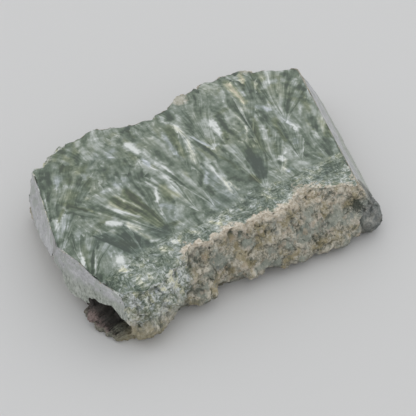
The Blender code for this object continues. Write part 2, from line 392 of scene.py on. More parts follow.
# %% Push the shell in and out
FOOT_HEIGHT = 2.2
FOOT_DEPTH = 1.5
FOOT_LEAN = 1.5
FOOT_LUMP = 5.0
FOOT_MIDDLE = 0.55
STROKES = [
    (-20.3, -20.3, 2.5, 4.6, (0.3, 1.7, 0.0)), (-26.5, -23.5, 4.0, 5.0, (0.0, -0.7, 0.0)),
    (-15.0, -21.0, 2.6, 4.5, (0.0, -0.9, 0.0)), (-11.0, -20.0, 1.0, 2.8, (0.2, 1.4, 0.0)),
    (-6.0, -20.6, 3.2, 4.5, (0.0, -0.7, 0.0)), (0.5, -19.8, 1.0, 2.8, (0.0, 1.2, 0.0)),
    (6.0, -20.2, 2.8, 4.0, (0.0, -0.6, 0.0)), (11.5, -19.8, 1.0, 2.8, (0.0, 1.1, 0.0)),
    (21.8, 22.4, 11.4, 2.8, (0.2, 1.5, 0.0)), (4.6, 21.0, 11.6, 2.6, (0.0, 1.3, 0.0)),
    (-35.0, 12.0, 0.0, 6.5, (2.2, -0.4, 0.0)), (-35.2, 4.0, 0.0, 7.5, (2.3, -0.3, 0.0)),
    (-36.5, -4.5, 2.2, 5.4, (1.6, 0.2, 0.0)), (-36.0, -4.0, 5.5, 2.6, (0.4, 0.1, 0.0)),
    (-34.9, -10.0, 0.0, 4.6, (1.9, 0.3, 0.0)), (-31.6, -22.6, 4.0, 3.6, (0.9, 0.9, 0.0)),
    (27.2, -20.8, 3.2, 3.6, (-1.3, 0.8, 0.5)), (25.4, -20.8, 0.4, 4.2, (0.9, -1.0, 0.0)),
    (-32.9, -16.4, 5.0, 3.0, (1.7, 0.5, 0.0)), (24.6, -19.6, 8.0, 3.6, (0.5, -0.7, 0.0)),
    (19.2, -21.0, 8.2, 2.1, (-0.5, 1.6, 0.2)),
]


def stroke(bm, x, y, z, radius, push):
    """Moves the corners near a point of the slice, the nearest the most."""
    middle, push = Vector((x, y, z)) * MM, Vector(push) * MM
    for vert in bm.verts:
        share = 1.0 - (vert.co - middle).length / (radius * MM)
        if share > 0.0 and not any(face in kept_flats for face in vert.link_faces):
            share *= share * (3.0 - 2.0 * share)
            moved = vert.co + push * share
            height = max(moved.z, 0.0) if vert.co.z > 0.0 else 0.0
            vert.co = Vector((moved.x, moved.y, height))


def draw_foot_in(bm):
    """Draws the lowest rock in under the slice, more in one place than in the next."""
    for vert in bm.verts:
        low = 1.0 - vert.co.z / (FOOT_HEIGHT * MM)
        if low > 0.0 and not any(face in kept_flats for face in vert.link_faces):
            inward = Vector((-vert.co.x, -FOOT_LEAN * vert.co.y, 0.0)).normalized()
            uneven = FOOT_MIDDLE + noise.noise(vert.co / (FOOT_LUMP * MM))
            vert.co += inward * (FOOT_DEPTH * MM * low * low * max(0.0, uneven))


kept_flats = {flat_faces[name][0] for name in BREAKS}
for one in STROKES:
    stroke(rind, *one)
draw_foot_in(rind)
print(len(STROKES), "strokes")

# %% Chip the sharp edges and open the flats


def chip_and_open(bm, groups):
    """Cuts a narrow chamfer where two flats meet, and takes the flats out."""
    owner = {face: name for name, faces in groups.items() for face in faces}
    sharp = [
        edge for edge in bm.edges
        if len({owner[face] for face in edge.link_faces if face in owner}) == 2
    ]
    made = bmesh.ops.bevel(
        bm, geom=sharp, offset=CHIPPED_EDGE, segments=1, affect="EDGES", clamp_overlap=True,
    )
    bm.normal_update()
    chamfer = set(made["faces"])
    flats = []
    for point, normal in planes.values():
        flat = [
            face for face in bm.faces
            if face not in chamfer and face.normal.dot(normal) > NEARLY_PARALLEL
            and all(abs((vert.co - point).dot(normal)) < ON_PLANE for vert in face.verts)
        ]
        flats.append(max(flat, key=lambda face: face.calc_area()))
    bmesh.ops.delete(bm, geom=flats, context="FACES_ONLY")
    loose = [edge for edge in bm.edges if edge.is_wire]
    bmesh.ops.delete(bm, geom=loose, context="EDGES")
    lone = [vert for vert in bm.verts if not vert.link_faces]
    bmesh.ops.delete(bm, geom=lone, context="VERTS")
    bmesh.ops.join_triangles(
        bm, faces=bm.faces[:], angle_face_threshold=PAIR_ANGLE, angle_shape_threshold=PAIR_ANGLE,
    )
    print(f"{len(sharp)} sharp edges chipped, {len(flats)} flats taken out")


chip_and_open(rind, flat_faces)
border = [edge for edge in rind.edges if edge.is_boundary]
print("open shell:", len(rind.faces), "faces,", len(border), "border edges,",
      sum(not e.is_manifold and not e.is_boundary for e in rind.edges), "bad edges")

# %% [markdown]
# ## Arithmetic that builds nodes
#
# Both the rough skin and the paints are worked out by nodes. A tree of them is hard to
# read as a list of links, so one small class stands for the value on a wire, and plain
# arithmetic on such values adds the Math nodes. Everything else comes from its method
# `node`, which takes a node's type, its settings, and what goes into its sockets.

# %% A value on a wire


class Wire:
    """One value on its way through a tree of nodes."""

    def __init__(self, socket):
        self.socket = socket

    def node(self, kind, settings=None, sockets=None, output=0):
        """Adds a node, with its settings first, then its sockets, and returns one output."""
        tree = self.socket.id_data
        made = tree.nodes.new(kind)
        for name, value in (settings or {}).items():
            setattr(made, name, value)
        for name, value in (sockets or {}).items():
            if isinstance(value, Wire):
                tree.links.new(value.socket, made.inputs[name])
            else:
                made.inputs[name].default_value = value
        return Wire(made.outputs[output])

    def math(self, operation, *values):
        return self.node("ShaderNodeMath", {"operation": operation}, dict(enumerate(values)))

    def __add__(self, other):
        return self.math("ADD", self, other)

    def __radd__(self, other):
        return self.math("ADD", other, self)

    def __sub__(self, other):
        return self.math("SUBTRACT", self, other)

    def __rsub__(self, other):
        return self.math("SUBTRACT", other, self)

    def __mul__(self, other):
        return self.math("MULTIPLY", self, other)

    def __rmul__(self, other):
        return self.math("MULTIPLY", other, self)

    def __truediv__(self, other):
        return self.math("DIVIDE", self, other)

    def __rtruediv__(self, other):
        return self.math("DIVIDE", other, self)

    def __abs__(self):
        return self.math("ABSOLUTE", self)

    def vector(self, operation, *values, output=0):
        """Vector Math on this value and the others."""
        sockets = dict(enumerate((self,) + values))
        if operation == "SCALE":
            sockets = {0: self, "Scale": values[0]}
        return self.node("ShaderNodeVectorMath", {"operation": operation}, sockets, output)

    def dot(self, direction):
        return self.vector("DOT_PRODUCT", direction, output=1)

    def rise(self, low, high):
        """0 below low, 1 above high, smooth between. It falls where low is the larger."""
        settings = {"interpolation_type": "SMOOTHSTEP"}
        sockets = {0: self, 1: low, 2: high}
        if low > high:
            sockets = {0: self, 1: high, 2: low, 3: 1.0, 4: 0.0}
        return self.node("ShaderNodeMapRange", settings, sockets)

    def sibling(self, name):
        """Another output of the node that this value comes from."""
        return Wire(self.socket.node.outputs[name])

    def split(self):
        """The three parts of a vector or a colour."""
        parts = self.node("ShaderNodeSeparateXYZ", {}, {0: self})
        return parts, parts.sibling(1), parts.sibling(2)

    def blend(self, factor, other):
        """This number, turning into the other as the factor goes from 0 to 1."""
        return self.node("ShaderNodeMix", {}, {0: factor, 2: self, 3: other})

    def tint(self, factor, colour, mode="MIX"):
        """This colour, turning into the other as the factor goes from 0 to 1."""
        settings = {"data_type": "RGBA", "blend_type": mode}
        return self.node("ShaderNodeMix", settings, {0: factor, 6: self, 7: colour}, 2)

    def noise(self, size, detail=2.0, roughness=0.5, at=0.0):
        """Smooth noise with lumps of about this size. Another at gives another pattern."""
        settings = {"noise_dimensions": "3D"}
        place = self.vector("ADD", (at, 2.0 * at, -at)) if at else self
        sockets = {"Vector": place, "Scale": 1.0 / size, "Detail": detail, "Roughness": roughness}
        return self.node("ShaderNodeTexNoise", settings, sockets, 0)

    def cells(self, size, feature="F1", output="Distance"):
        """Cells of about this size, by their nearest middle."""
        sockets = {"Vector": self, "Scale": 1.0 / size}
        return self.node("ShaderNodeTexVoronoi", {"feature": feature}, sockets, output)

    def swing(self, amount):
        """The noise on this wire, moved to swing about 0 by half the amount each way."""
        return (self - 0.5) * amount

    def attribute(self, name, output="Fac"):
        """What the mesh stores under this name."""
        return self.node("ShaderNodeAttribute", {"attribute_name": name}, {}, output)


# %% [markdown]
# ## The rough skin
#
# Weathering has opened the rock between its grains, so the rind is knobbly at a
# millimetre and crumbly at a quarter of one, with small pits where grains fell out. The
# solid already has the large knobs. The rest follows a rule all over the surface, which
# is a task for Geometry Nodes: smooth the skin, then push it in and out along its normal
# by noise and by cells. How deep each place sits is stored, with the thin creases between
# knobs stored deeper still, so that the paint can darken them as painted shade.

# %% Rough skin
SKIN_LEVELS = 2
SKIN_INPUTS = {
    "Lump Size": 3.9, "Lump Height": 3.2,
    "Grain Size": 1.2, "Grain Height": 0.55,
    "Crumb Size": 0.46, "Crumb Height": 0.42,
    "Pit Size": 1.2, "Pit Depth": 0.6,
    "Seed": 4.0,
}
PIT_MOUTH = (0.38, 0.29)
GRAIN_MIDDLE = 0.42
LUMP_MIDDLE = 0.10
ROUGH_SHARE = 1.5
CREASE_WIDTH = 0.045
CREASE_SHADE = 0.38
BORDER_SHARE = 0.6
CALM = 0.3
CALM_PLACE = (-36.0, -1.0, 3.0)
CALM_RADIUS = 11.0
rind_paint = bpy.data.materials.new("weathered_rind")


def skin_tree():
    """The tree of nodes that roughens the skin. Its sizes are in millimetres."""
    tree = bpy.data.node_groups.new("rough_skin", "GeometryNodeTree")
    tree.interface.new_socket("Geometry", in_out="INPUT", socket_type="NodeSocketGeometry")
    for name, value in SKIN_INPUTS.items():
        tree.interface.new_socket(name, in_out="INPUT", socket_type="NodeSocketFloat").default_value = value
    tree.interface.new_socket("Geometry", in_out="OUTPUT", socket_type="NodeSocketGeometry")
    entry = tree.nodes.new("NodeGroupInput")
    size = {name: Wire(entry.outputs[name]) for name in SKIN_INPUTS}
    shell = Wire(entry.outputs["Geometry"])
    smooth = shell.node("GeometryNodeSubdivisionSurface", {}, {"Mesh": shell, "Level": SKIN_LEVELS})
    position = shell.node("GeometryNodeInputPosition")
    place = position.vector("SCALE", 1.0 / MM).vector("ADD", size["Seed"])
    wander = place.node("ShaderNodeTexNoise", {}, {"Vector": place, "Scale": 0.5}, "Color")
    place = place.vector("ADD", wander)

    def cells(width, feature, output="Distance"):
        sockets = {"Vector": place.vector("SCALE", 1.0 / width), "Scale": 1.0}
        return place.node("ShaderNodeTexVoronoi", {"feature": feature}, sockets, output)

    def clouds(width, scale, detail, roughness):
        scaled = place.vector("SCALE", 1.0 / width)
        sockets = {"Vector": scaled, "Scale": scale, "Detail": detail, "Roughness": roughness}
        return place.node("ShaderNodeTexNoise", {}, sockets, 0)

    grain = GRAIN_MIDDLE - cells(size["Grain Size"], "F1")
    crumb = GRAIN_MIDDLE - cells(size["Crumb Size"], "F1")
    hole = clouds(size["Pit Size"], 1.0, 3.0, 0.6).rise(*PIT_MOUTH)
    rough = clouds(size["Grain Size"], 0.55, 5.0, 0.62) - 0.5
    out = grain * size["Grain Height"] + crumb * size["Crumb Height"]
    out = out + rough * size["Grain Height"] * ROUGH_SHARE - hole * size["Pit Depth"]
    lump = abs(clouds(size["Lump Size"], 1.0, 1.0, 0.5) - 0.5)
    whole = out + (lump - LUMP_MIDDLE) * size["Lump Height"]
    # The creases are lowered only in the stored depth, not in the shape, so that the paint darkens them:
    # painted shade.
    out = out - lump.rise(CREASE_WIDTH, 0.0) * CREASE_SHADE
    neighbours = shell.node("GeometryNodeInputMeshEdgeNeighbors", {}, {}, 0)
    settings = {"data_type": "INT", "operation": "GREATER_THAN"}
    inside = neighbours.node("FunctionNodeCompare", settings, {2: neighbours, 3: 1})
    share = BORDER_SHARE + (1.0 - BORDER_SHARE) * inside
    normal = shell.node("GeometryNodeInputNormal")
    settings = {"data_type": "FLOAT"}
    strength = shell.node("GeometryNodeInputNamedAttribute", settings, {"Name": "roughness"}, 0)
    offset = normal.vector("SCALE", whole * share * strength * MM)
    moved = shell.node("GeometryNodeSetPosition", {}, {"Geometry": smooth, "Offset": offset})
    settings = {"data_type": "FLOAT", "domain": "POINT"}
    sockets = {"Geometry": smooth, "Name": "depth", "Value": out}
    stored = shell.node("GeometryNodeStoreNamedAttribute", settings, sockets)
    tree.links.new(stored.socket, moved.socket.node.inputs["Geometry"])
    real = shell.node("GeometryNodeRealizeInstances", {}, {"Geometry": moved})
    painted = shell.node("GeometryNodeSetMaterial", {}, {"Geometry": real, "Material": rind_paint})
    leave = tree.nodes.new("NodeGroupOutput")
    tree.links.new(painted.socket, leave.inputs["Geometry"])
    return tree


def roughened(bm):
    """The open shell, roughened, as a new mesh. Its foot at the left is the smoothest part."""
    strength = bm.verts.layers.float.new("roughness")
    for vert in bm.verts:
        gap = (vert.co - Vector(CALM_PLACE) * MM).length / MM
        vert[strength] = CALM + (1.0 - CALM) * min(1.0, gap / CALM_RADIUS) ** 2
    mesh = bpy.data.meshes.new("rind")
    bm.to_mesh(mesh)
    holder = bpy.data.objects.new("rind", mesh)
    bpy.context.scene.collection.objects.link(holder)
    skin = holder.modifiers.new("Rough skin", "NODES")
    skin.node_group = skin_tree()
    for item in skin.node_group.interface.items_tree:
        if item.in_out == "INPUT" and item.name in SKIN_INPUTS:
            skin[item.identifier] = SKIN_INPUTS[item.name]
    plain = bpy.data.meshes.new_from_object(holder.evaluated_get(bpy.context.evaluated_depsgraph_get()))
    bpy.data.objects.remove(holder)
    return plain


skin_mesh = roughened(rind)
print("skin:", len(skin_mesh.polygons), "faces,", len(skin_mesh.vertices), "corners, attributes:",
      [a.name for a in skin_mesh.attributes])

# %% [markdown]
# ## Where the feathers lie
#
# On the polished face each fan of fibres is cut along its length. It starts from a point,
# spreads like a feather, and ends frayed. A picture could show that, but it would only
# ever be one picture. Here a fan is a place, a direction, an angle and a length, and says
# which way its fibres run. A feather is a wedge with a given tone, and smaller
# ones are scattered between them from a fixed seed. The fans' outlines and the middle
# lines of the listed feathers become edges of the face's mesh.

# %% The feathers
# The brightest tone is the fibres' pale colour with a painted sheen on it, where they catch the light most.
TONES = {
    "black": (-0.04, 0.2), "dark": (0.07, -0.1), "green": (0.28, -0.5), "olive": (0.20, -1.0),
    "brown": (-0.02, -1.6), "blue": (0.04, 1.1), "grey": (0.50, 0.6), "pale": (0.62, 0.0),
    "silver": (0.74, 0.1), "lavender": (0.68, 1.0), "cream": (0.78, -0.5), "tan": (0.66, -1.6),
    "white_sheen": (1.0, 0.0),
}
FANS = [
    (-36.9, -7.5, 66, 21, 25), (-35.2, -15.6, 60, 22, 11.5), (-24.4, -17.5, 98, 17, 12),
    (-17.0, -14.0, 104, 27, 19.5),
    (-9.8, -10.5, 99, 14, 13), (-12.2, 18.0, 288, 13, 19), (-6.6, -11.0, 91, 14, 28),
    (-1.4, -12.5, 92, 11, 15), (-0.6, 12.6, 266, 18, 12), (2.2, 2.5, 84, 21, 19),
    (4.2, -12.5, 74, 19, 16), (9.2, -10.0, 69, 15, 30), (14.6, -9.0, 69, 17, 30),
    (18.4, -18.5, 70, 18, 26), (19.0, 3.0, 58, 26, 22), (11.5, 3.5, 66, 12, 17),
]
FEATHERS = [
    ("dark", -35.6, -1.0, -32.0, 14.0, 0.3, 2.2), ("dark", -34.6, 1.0, -30.6, 9.5, 0.5, 1.5),
    ("silver", -35.6, -1.5, -31.5, 10.0, 0.1, 0.4), ("pale", -34.6, 0.5, -30.2, 7.5, 0.2, 0.6),
    ("black", -33.8, 1.5, -30.6, 5.5, 0.6, 1.2), ("silver", -35.2, -1.5, -29.6, 4.6, 0.2, 0.5),
    ("olive", -33.4, 0.3, -30.2, 3.8, 0.3, 0.6), ("silver", -34.8, -1.8, -29.6, 3.2, 0.2, 0.7),
    ("grey", -34.0, -2.5, -30.0, 2.0, 0.8, 2.0), ("dark", -31.5, 9.5, -28.5, 16.0, 1.4, 2.2),
    ("lavender", -29.2, 9.0, -26.8, 12.8, 0.7, 1.4), ("dark", -36.2, -5.0, -34.5, -3.3, 0.4, 0.8),
    ("white_sheen", -34.8, -12.0, -32.2, -7.5, 0.4, 1.1), ("green", -34.2, -13.5, -31.8, -5.5, 0.4, 1.3),
    ("dark", -34.0, -14.2, -31.0, -9.2, 0.4, 1.0), ("silver", -33.6, -14.3, -30.2, -8.2, 0.1, 0.3),
    ("dark", -32.9, -13.8, -30.4, -10.6, 0.3, 0.7), ("silver", -33.2, -14.4, -30.6, -12.4, 0.2, 0.5),
    ("pale", -33.0, -15.0, -29.8, -12.0, 0.5, 1.2), ("white_sheen", -30.6, -18.8, -27.4, -12.4, 1.2, 2.9),
    ("blue", -29.8, -6.0, -25.6, -10.6, 0.9, 1.9), ("blue", -27.9, -6.0, -24.4, -15.4, 1.2, 3.2),
    ("blue", -25.0, -8.0, -22.2, -15.6, 2.2, 3.0), ("blue", -26.0, -15.0, -21.0, -13.6, 1.4, 1.8),
    ("black", -26.6, -9.5, -23.8, -13.2, 1.0, 1.6),
    ("white_sheen", -26.2, -3.9, -23.2, -6.3, 0.8, 1.6), ("cream", -23.0, -6.0, -21.2, -9.9, 1.0, 1.5),
    ("cream", -22.0, -9.3, -20.9, -13.0, 0.5, 0.7), ("white_sheen", -21.6, -12.6, -17.0, -14.7, 0.5, 0.9),
    ("blue", -18.0, -14.6, -18.6, -9.0, 1.6, 3.6), ("dark", -16.8, -13.2, -16.2, -10.5, 0.7, 1.2),
    ("brown", -18.6, -7.5, -22.0, 2.0, 0.6, 3.1), ("cream", -18.2, -5.0, -20.9, 1.8, 0.2, 0.6),
    ("brown", -17.4, -5.5, -18.9, 3.2, 0.6, 1.9), ("silver", -17.0, -5.5, -16.9, 0.5, 0.2, 0.5),
    ("olive", -17.5, -11.0, -18.6, -4.0, 1.4, 3.0), ("silver", -19.5, -6.5, -23.2, -1.2, 0.2, 0.6),
    ("green", -19.3, -8.0, -22.4, -4.0, 0.6, 1.5), ("white_sheen", -15.1, -4.6, -12.9, 0.2, 0.2, 0.6),
    ("olive", -12.8, -5.5, -11.6, 0.5, 0.8, 1.6), ("silver", -16.2, -8.2, -14.6, -4.8, 0.3, 0.6),
    ("lavender", -15.2, -4.9, -12.8, -7.6, 0.8, 1.3), ("silver", -9.6, -5.2, -10.4, 2.8, 0.6, 1.2),
    ("dark", -8.6, -2.8, -9.4, 1.2, 0.5, 1.0), ("silver", -7.9, 0.4, -12.0, 14.6, 0.5, 1.7),
    ("white_sheen", -10.8, 10.0, -11.7, 14.6, 0.7, 1.5), ("lavender", -10.9, 5.0, -11.4, 8.8, 0.5, 0.9),
    ("dark", -5.8, 0.2, -8.4, 10.4, 0.9, 1.7), ("dark", -9.8, 13.0, -10.6, 18.5, 0.9, 1.5),
    ("lavender", -4.9, 4.2, -3.3, 13.8, 0.8, 1.6), ("olive", -4.2, 3.6, -1.9, 15.4, 0.8, 1.7),
    ("cream", -0.4, 9.0, -0.8, 14.8, 0.4, 0.9), ("cream", -0.2, 9.6, -3.7, 0.8, 0.4, 1.2),
    ("lavender", 2.2, 4.0, -0.1, 9.8, 0.4, 0.7), ("dark", 1.3, 1.4, -0.3, 8.2, 0.6, 1.1),
    ("silver", 1.4, 3.4, 4.4, 4.8, 0.4, 0.8), ("white_sheen", 5.4, 6.0, 6.7, 11.8, 0.7, 1.7),
    ("silver", 5.0, 4.6, 5.8, 13.8, 0.3, 0.8), ("dark", 7.2, 5.8, 8.4, 12.8, 0.5, 1.2),
    ("dark", 1.2, 9.2, 1.8, 13.8, 0.5, 1.0), ("dark", -1.5, 15.5, 1.2, 17.3, 1.0, 1.6),
    ("olive", 5.8, 4.0, 7.1, 7.6, 0.5, 0.9), ("cream", 9.0, 1.8, 15.6, 13.4, 0.4, 1.0),
    ("dark", 10.6, 1.8, 13.9, 11.4, 0.6, 1.6), ("olive", 10.8, 0.3, 13.5, 6.7, 0.5, 1.1),
    ("silver", 12.6, 0.3, 15.1, 5.2, 0.3, 0.6), ("olive", 15.3, -2.9, 17.9, 6.6, 0.7, 1.7),
    ("dark", 16.0, -1.8, 17.8, 4.4, 0.3, 0.9), ("tan", 15.4, 11.6, 15.9, 22.0, 0.7, 1.6),
    ("tan", 18.6, 17.6, 20.2, 22.2, 0.5, 1.0), ("lavender", 18.8, 7.3, 16.2, 10.9, 0.9, 1.4),
    ("dark", 18.9, 9.8, 19.9, 13.8, 0.6, 1.2), ("silver", 20.3, 14.4, 24.7, 16.6, 0.8, 1.6),
    ("green", 23.4, 9.2, 24.7, 14.1, 0.8, 1.7), ("dark", 21.0, 4.6, 23.1, 9.8, 1.0, 1.6),
    ("silver", 21.7, 1.8, 25.5, 7.5, 0.3, 0.7), ("black", 22.5, -3.5, 24.5, 3.4, 0.7, 1.6),
    ("black", 20.2, -10.9, 22.7, -4.6, 0.8, 2.0), ("dark", 17.7, -16.2, 20.6, -9.1, 1.0, 1.6),
    ("dark", 27.8, 14.0, 27.6, 17.4, 0.8, 1.3), ("dark", 28.2, 9.2, 28.0, 12.2, 0.7, 1.1),
    ("lavender", 16.5, -4.2, 17.7, -1.8, 0.7, 1.2), ("white_sheen", 11.3, -7.0, 12.1, -5.0, 0.4, 0.9),
    ("cream", 12.5, -6.4, 9.7, -9.8, 0.4, 0.9), ("lavender", 10.1, -10.1, 12.3, -9.3, 0.6, 1.0),
    ("dark", 4.5, -5.6, 8.3, 0.6, 0.6, 1.1), ("dark", -6.3, -5.2, -2.7, -0.4, 0.5, 1.0),
    ("lavender", -4.7, -4.8, -2.3, -1.0, 0.4, 0.9), ("cream", -1.9, -9.9, -0.8, -3.6, 0.4, 0.8),
    ("cream", -0.3, -9.5, -0.6, -5.8, 0.2, 0.5), ("silver", -1.2, -4.2, -1.6, 1.4, 0.5, 0.9),
    ("dark", -5.2, -8.6, -4.6, -4.8, 0.7, 1.2), ("brown", 4.4, -10.0, 3.6, -6.6, 0.7, 1.3),
    ("blue", 5.4, -9.7, 7.7, -1.8, 1.2, 2.6), ("dark", 2.7, -15.0, 3.0, -11.5, 0.5, 1.6),
    ("dark", 4.6, -15.0, 4.8, -11.8, 0.5, 1.2), ("white_sheen", 6.0, -13.9, 7.5, -12.3, 0.6, 1.0),
    ("white_sheen", 13.1, -13.0, 14.7, -12.1, 0.5, 0.9), ("white_sheen", 9.9, -17.1, 11.3, -16.1, 0.5, 0.9),
]
print(len(FANS), "fans and", len(FEATHERS), "feathers placed by hand")

# %% Shape of a feather
DRAWING_SEED = 7
OUTLINE_STEP = 0.5
QUILL_STEP = 0.8
UNEVEN = (0.92, 1.07)
LEAST_SLOPE = 0.02
FAN_POINT = 0.05
TOOTH = 0.5
FRAYED = 0.9
WIDEN = 1.7
FULLNESS = 1.5
SCATTER_STEP = (2.3, 2.6)
SCATTER_AREA = ((-38.0, 32.0), (-21.0, 20.0))
SCATTER_SHIFT = 1.2
SCATTER_TURN = 0.05
SCATTER_LENGTH, SCATTER_WIDTH = (4.0, 10.0), (1.2, 3.0)
SCATTER_STRENGTH = (0.35, 0.75)
SCATTER_TONES = (
    "dark", "silver", "dark", "grey", "olive", "dark", "pale", "green", "blue", "pale", "brown",
)
BLOTCHES = [
    (-21.5, 11.0, 8.0, 8.5, 90), (-27.5, -1.0, 3.5, 4.5, 24),
    (23.0, 13.5, 6.5, 7.0, 40), (13.0, -7.0, 6.0, 3.5, 16),
]
BLOTCH_LENGTH, BLOTCH_WIDTH = (1.4, 3.4), (1.0, 2.2)
BLOTCH_STRENGTH = (0.4, 0.8)
PLACED_SOFT = 0.7
BLOTCH_TONES = ("dark", "silver", "green", "pale", "dark", "grey", "olive", "lavender")


def wedge(x0, y0, x1, y1, narrow, wide):
    """A wedge from a narrow end to a wide one, by the point where its two sides would meet."""
    run = Vector((x1 - x0, y1 - y0))
    slope = max(0.5 * (wide - narrow) / run.length, LEAST_SLOPE)
    behind = 0.5 * narrow / slope
    along = run.normalized()
    return {
        "apex": Vector((x0, y0)) - along * behind, "along": along, "aside": along.orthogonal(),
        "slope": slope, "start": behind, "length": run.length + behind,
    }


def outline(feather, draw):
    """The outline of a feather, with uneven sides and a frayed end, in millimetres."""
    def spot(far, aside):
        return feather["apex"] + feather["along"] * far + feather["aside"] * aside

    fars = np.arange(feather["start"], feather["length"], OUTLINE_STEP)
    uneven = draw.uniform(*UNEVEN, (2, len(fars)))
    right = [spot(far, feather["slope"] * far * uneven[0][i]) for i, far in enumerate(fars)]
    left = [spot(far, -feather["slope"] * far * uneven[1][i]) for i, far in enumerate(fars)]
    half = feather["slope"] * feather["length"]
    teeth = max(2, round(2.0 * half / TOOTH))
    sides = np.linspace(half, -half, teeth)
    reach = feather["length"] + draw.uniform(-FRAYED, FRAYED, teeth) * min(1.0, half)
    end = [spot(far, aside) for far, aside in zip(reach, sides)]
    return np.array([tuple(p) for p in right + end + left[::-1]])


def quill(feather):
    """The middle line of a feather, where its tone is fullest."""
    fars = np.arange(feather["start"] + OUTLINE_STEP, feather["length"] - OUTLINE_STEP, QUILL_STEP)
    points = [feather["apex"] + feather["along"] * far for far in fars]
    return np.array([tuple(p) for p in points]).reshape(-1, 2)


def all_fans(draw):
    """The fans, the lowest first. Each is a wedge with a frayed end."""
    found = []
    for x, y, degrees, half_angle, length in FANS:
        heading = math.radians(degrees)
        wide = 2.0 * length * math.tan(math.radians(half_angle))
        fan = wedge(x, y, x + length * math.cos(heading), y + length * math.sin(heading), FAN_POINT, wide)
        found.append({**fan, "outline": outline(fan, draw)})
    return found


def fan_at(place):
    """The uppermost fan that covers a place, or the first."""
    covering = [fan for fan in fans if inside_loops(np.array([place]), [fan["outline"]])[0]]
    return covering[-1] if covering else fans[0]


def toned(feather, name, strength, soft):
    """A feather with its tone and hue, its strength, and how soft its edges are."""
    tone, hue = TONES[name]
    return {**feather, "tone": tone, "hue": hue, "strength": strength, "soft": soft}


def scattered(draw):
    """Feathers along the fans, one near each spot of a coarse grid."""
    (left, right), (front, back) = SCATTER_AREA
    found = []
    for x in np.arange(left, right, SCATTER_STEP[0]):
        for y in np.arange(front, back, SCATTER_STEP[1]):
            place = np.array((x, y)) + draw.uniform(-SCATTER_SHIFT, SCATTER_SHIFT, 2)
            away = place - np.array(fan_at(place)["apex"])
            heading = math.atan2(away[1], away[0]) + draw.normal(0.0, SCATTER_TURN)
            length, wide = draw.uniform(*SCATTER_LENGTH), draw.uniform(*SCATTER_WIDTH)
            run = np.array((math.cos(heading), math.sin(heading))) * length
            name = SCATTER_TONES[draw.integers(len(SCATTER_TONES))]
            one = wedge(*place, *(place + run), 0.25 * wide, wide)
            found.append(toned(one, name, draw.uniform(*SCATTER_STRENGTH), 1.0))
    return found


def blotches(draw):
    """Short wide feathers that point every way, where the fibres lie in patches."""
    found = []
    for x, y, reach_x, reach_y, count in BLOTCHES:
        for _ in range(count):
            place = np.array((x, y)) + draw.uniform(-1.0, 1.0, 2) * (reach_x, reach_y)
            heading = draw.uniform(0.0, 2.0 * math.pi)
            run = np.array((math.cos(heading), math.sin(heading))) * draw.uniform(*BLOTCH_LENGTH)
            wide = draw.uniform(*BLOTCH_WIDTH)
            name = BLOTCH_TONES[draw.integers(len(BLOTCH_TONES))]
            one = wedge(*place, *(place + run), 0.7 * wide, wide)
            found.append(toned(one, name, draw.uniform(*BLOTCH_STRENGTH), 1.0))
    return found


def placed_by_hand():
    """The feathers of the list above, each with the middle line that the mesh follows."""
    found = []
    for name, *places, narrow, wide in FEATHERS:
        one = wedge(*places, narrow * WIDEN, wide * WIDEN)
        found.append({**toned(one, name, 1.0, PLACED_SOFT), "quill": quill(one)})
    return found


drawing = np.random.default_rng(DRAWING_SEED)
fans = all_fans(drawing)
feathers = scattered(drawing) + blotches(drawing) + placed_by_hand()
print(len(feathers), "feathers in all")

# %% [markdown]
# ## Putting the flats back
#
# The rind's borders have moved with it, so each is first pressed onto its own plane, and
# whatever grain stands above a cut is pushed under it, as the saw would have done. Each
# flat is then a new mesh of small triangles between its border and a grid of points. The
# grid is finer near the border, because polishing rounds the last half millimetre of the
# face where it meets crumbly rind. In between, a few knobs are raised past the left cut
# and at the right corner, where the saw never reached.

# %% Press the borders onto the cuts and raise the knobs
UNDER_CUT = 0.03 * MM


def border_loops(bm):
    """The shell's borders, each as its corners in order."""
    ordered = [edge for edge in bm.edges if edge.is_boundary]
    waiting = set(ordered)
    loops = []
    for edge in ordered:
        if edge not in waiting:
            continue
        waiting.discard(edge)
        start, here = edge.verts
        loop = [start]
        while here is not start:
            loop.append(here)
            edge = next(e for e in here.link_edges if e in waiting)
            waiting.discard(edge)
            here = edge.other_vert(here)
        loops.append(loop)
    return loops


def nearest_cut(loop):
    """The name of the cut that the border lies on."""
    def gap(name):
        point, normal = planes[name]
        return sum(abs((vert.co - point).dot(normal)) for vert in loop)
    return min(planes, key=gap)


def press_flat(bm, loops):
    """Puts each border on its cut and every other corner under all the cuts."""
    by_cut = {}
    for loop in loops:
        even = [
            0.5 * vert.co + 0.25 * (loop[i - 1].co + loop[(i + 1) % len(loop)].co)
            for i, vert in enumerate(loop)
        ]
        for vert, place in zip(loop, even):
            vert.co = place
        name = nearest_cut(loop)
        by_cut.setdefault(name, []).append(loop)
    for point, normal in planes.values():
        for vert in bm.verts:
            above = (vert.co - point).dot(normal) + UNDER_CUT
            if above > 0.0:
                vert.co -= normal * above
    for vert in bm.verts:
        vert.co = Vector(min(max(v, low), high) for v, low, high in zip(vert.co, *CAD_BOX))
    for name, own in by_cut.items():
        point, normal = planes[name]
        for loop in own:
            for vert in loop:
                vert.co -= normal * (vert.co - point).dot(normal)
    return by_cut


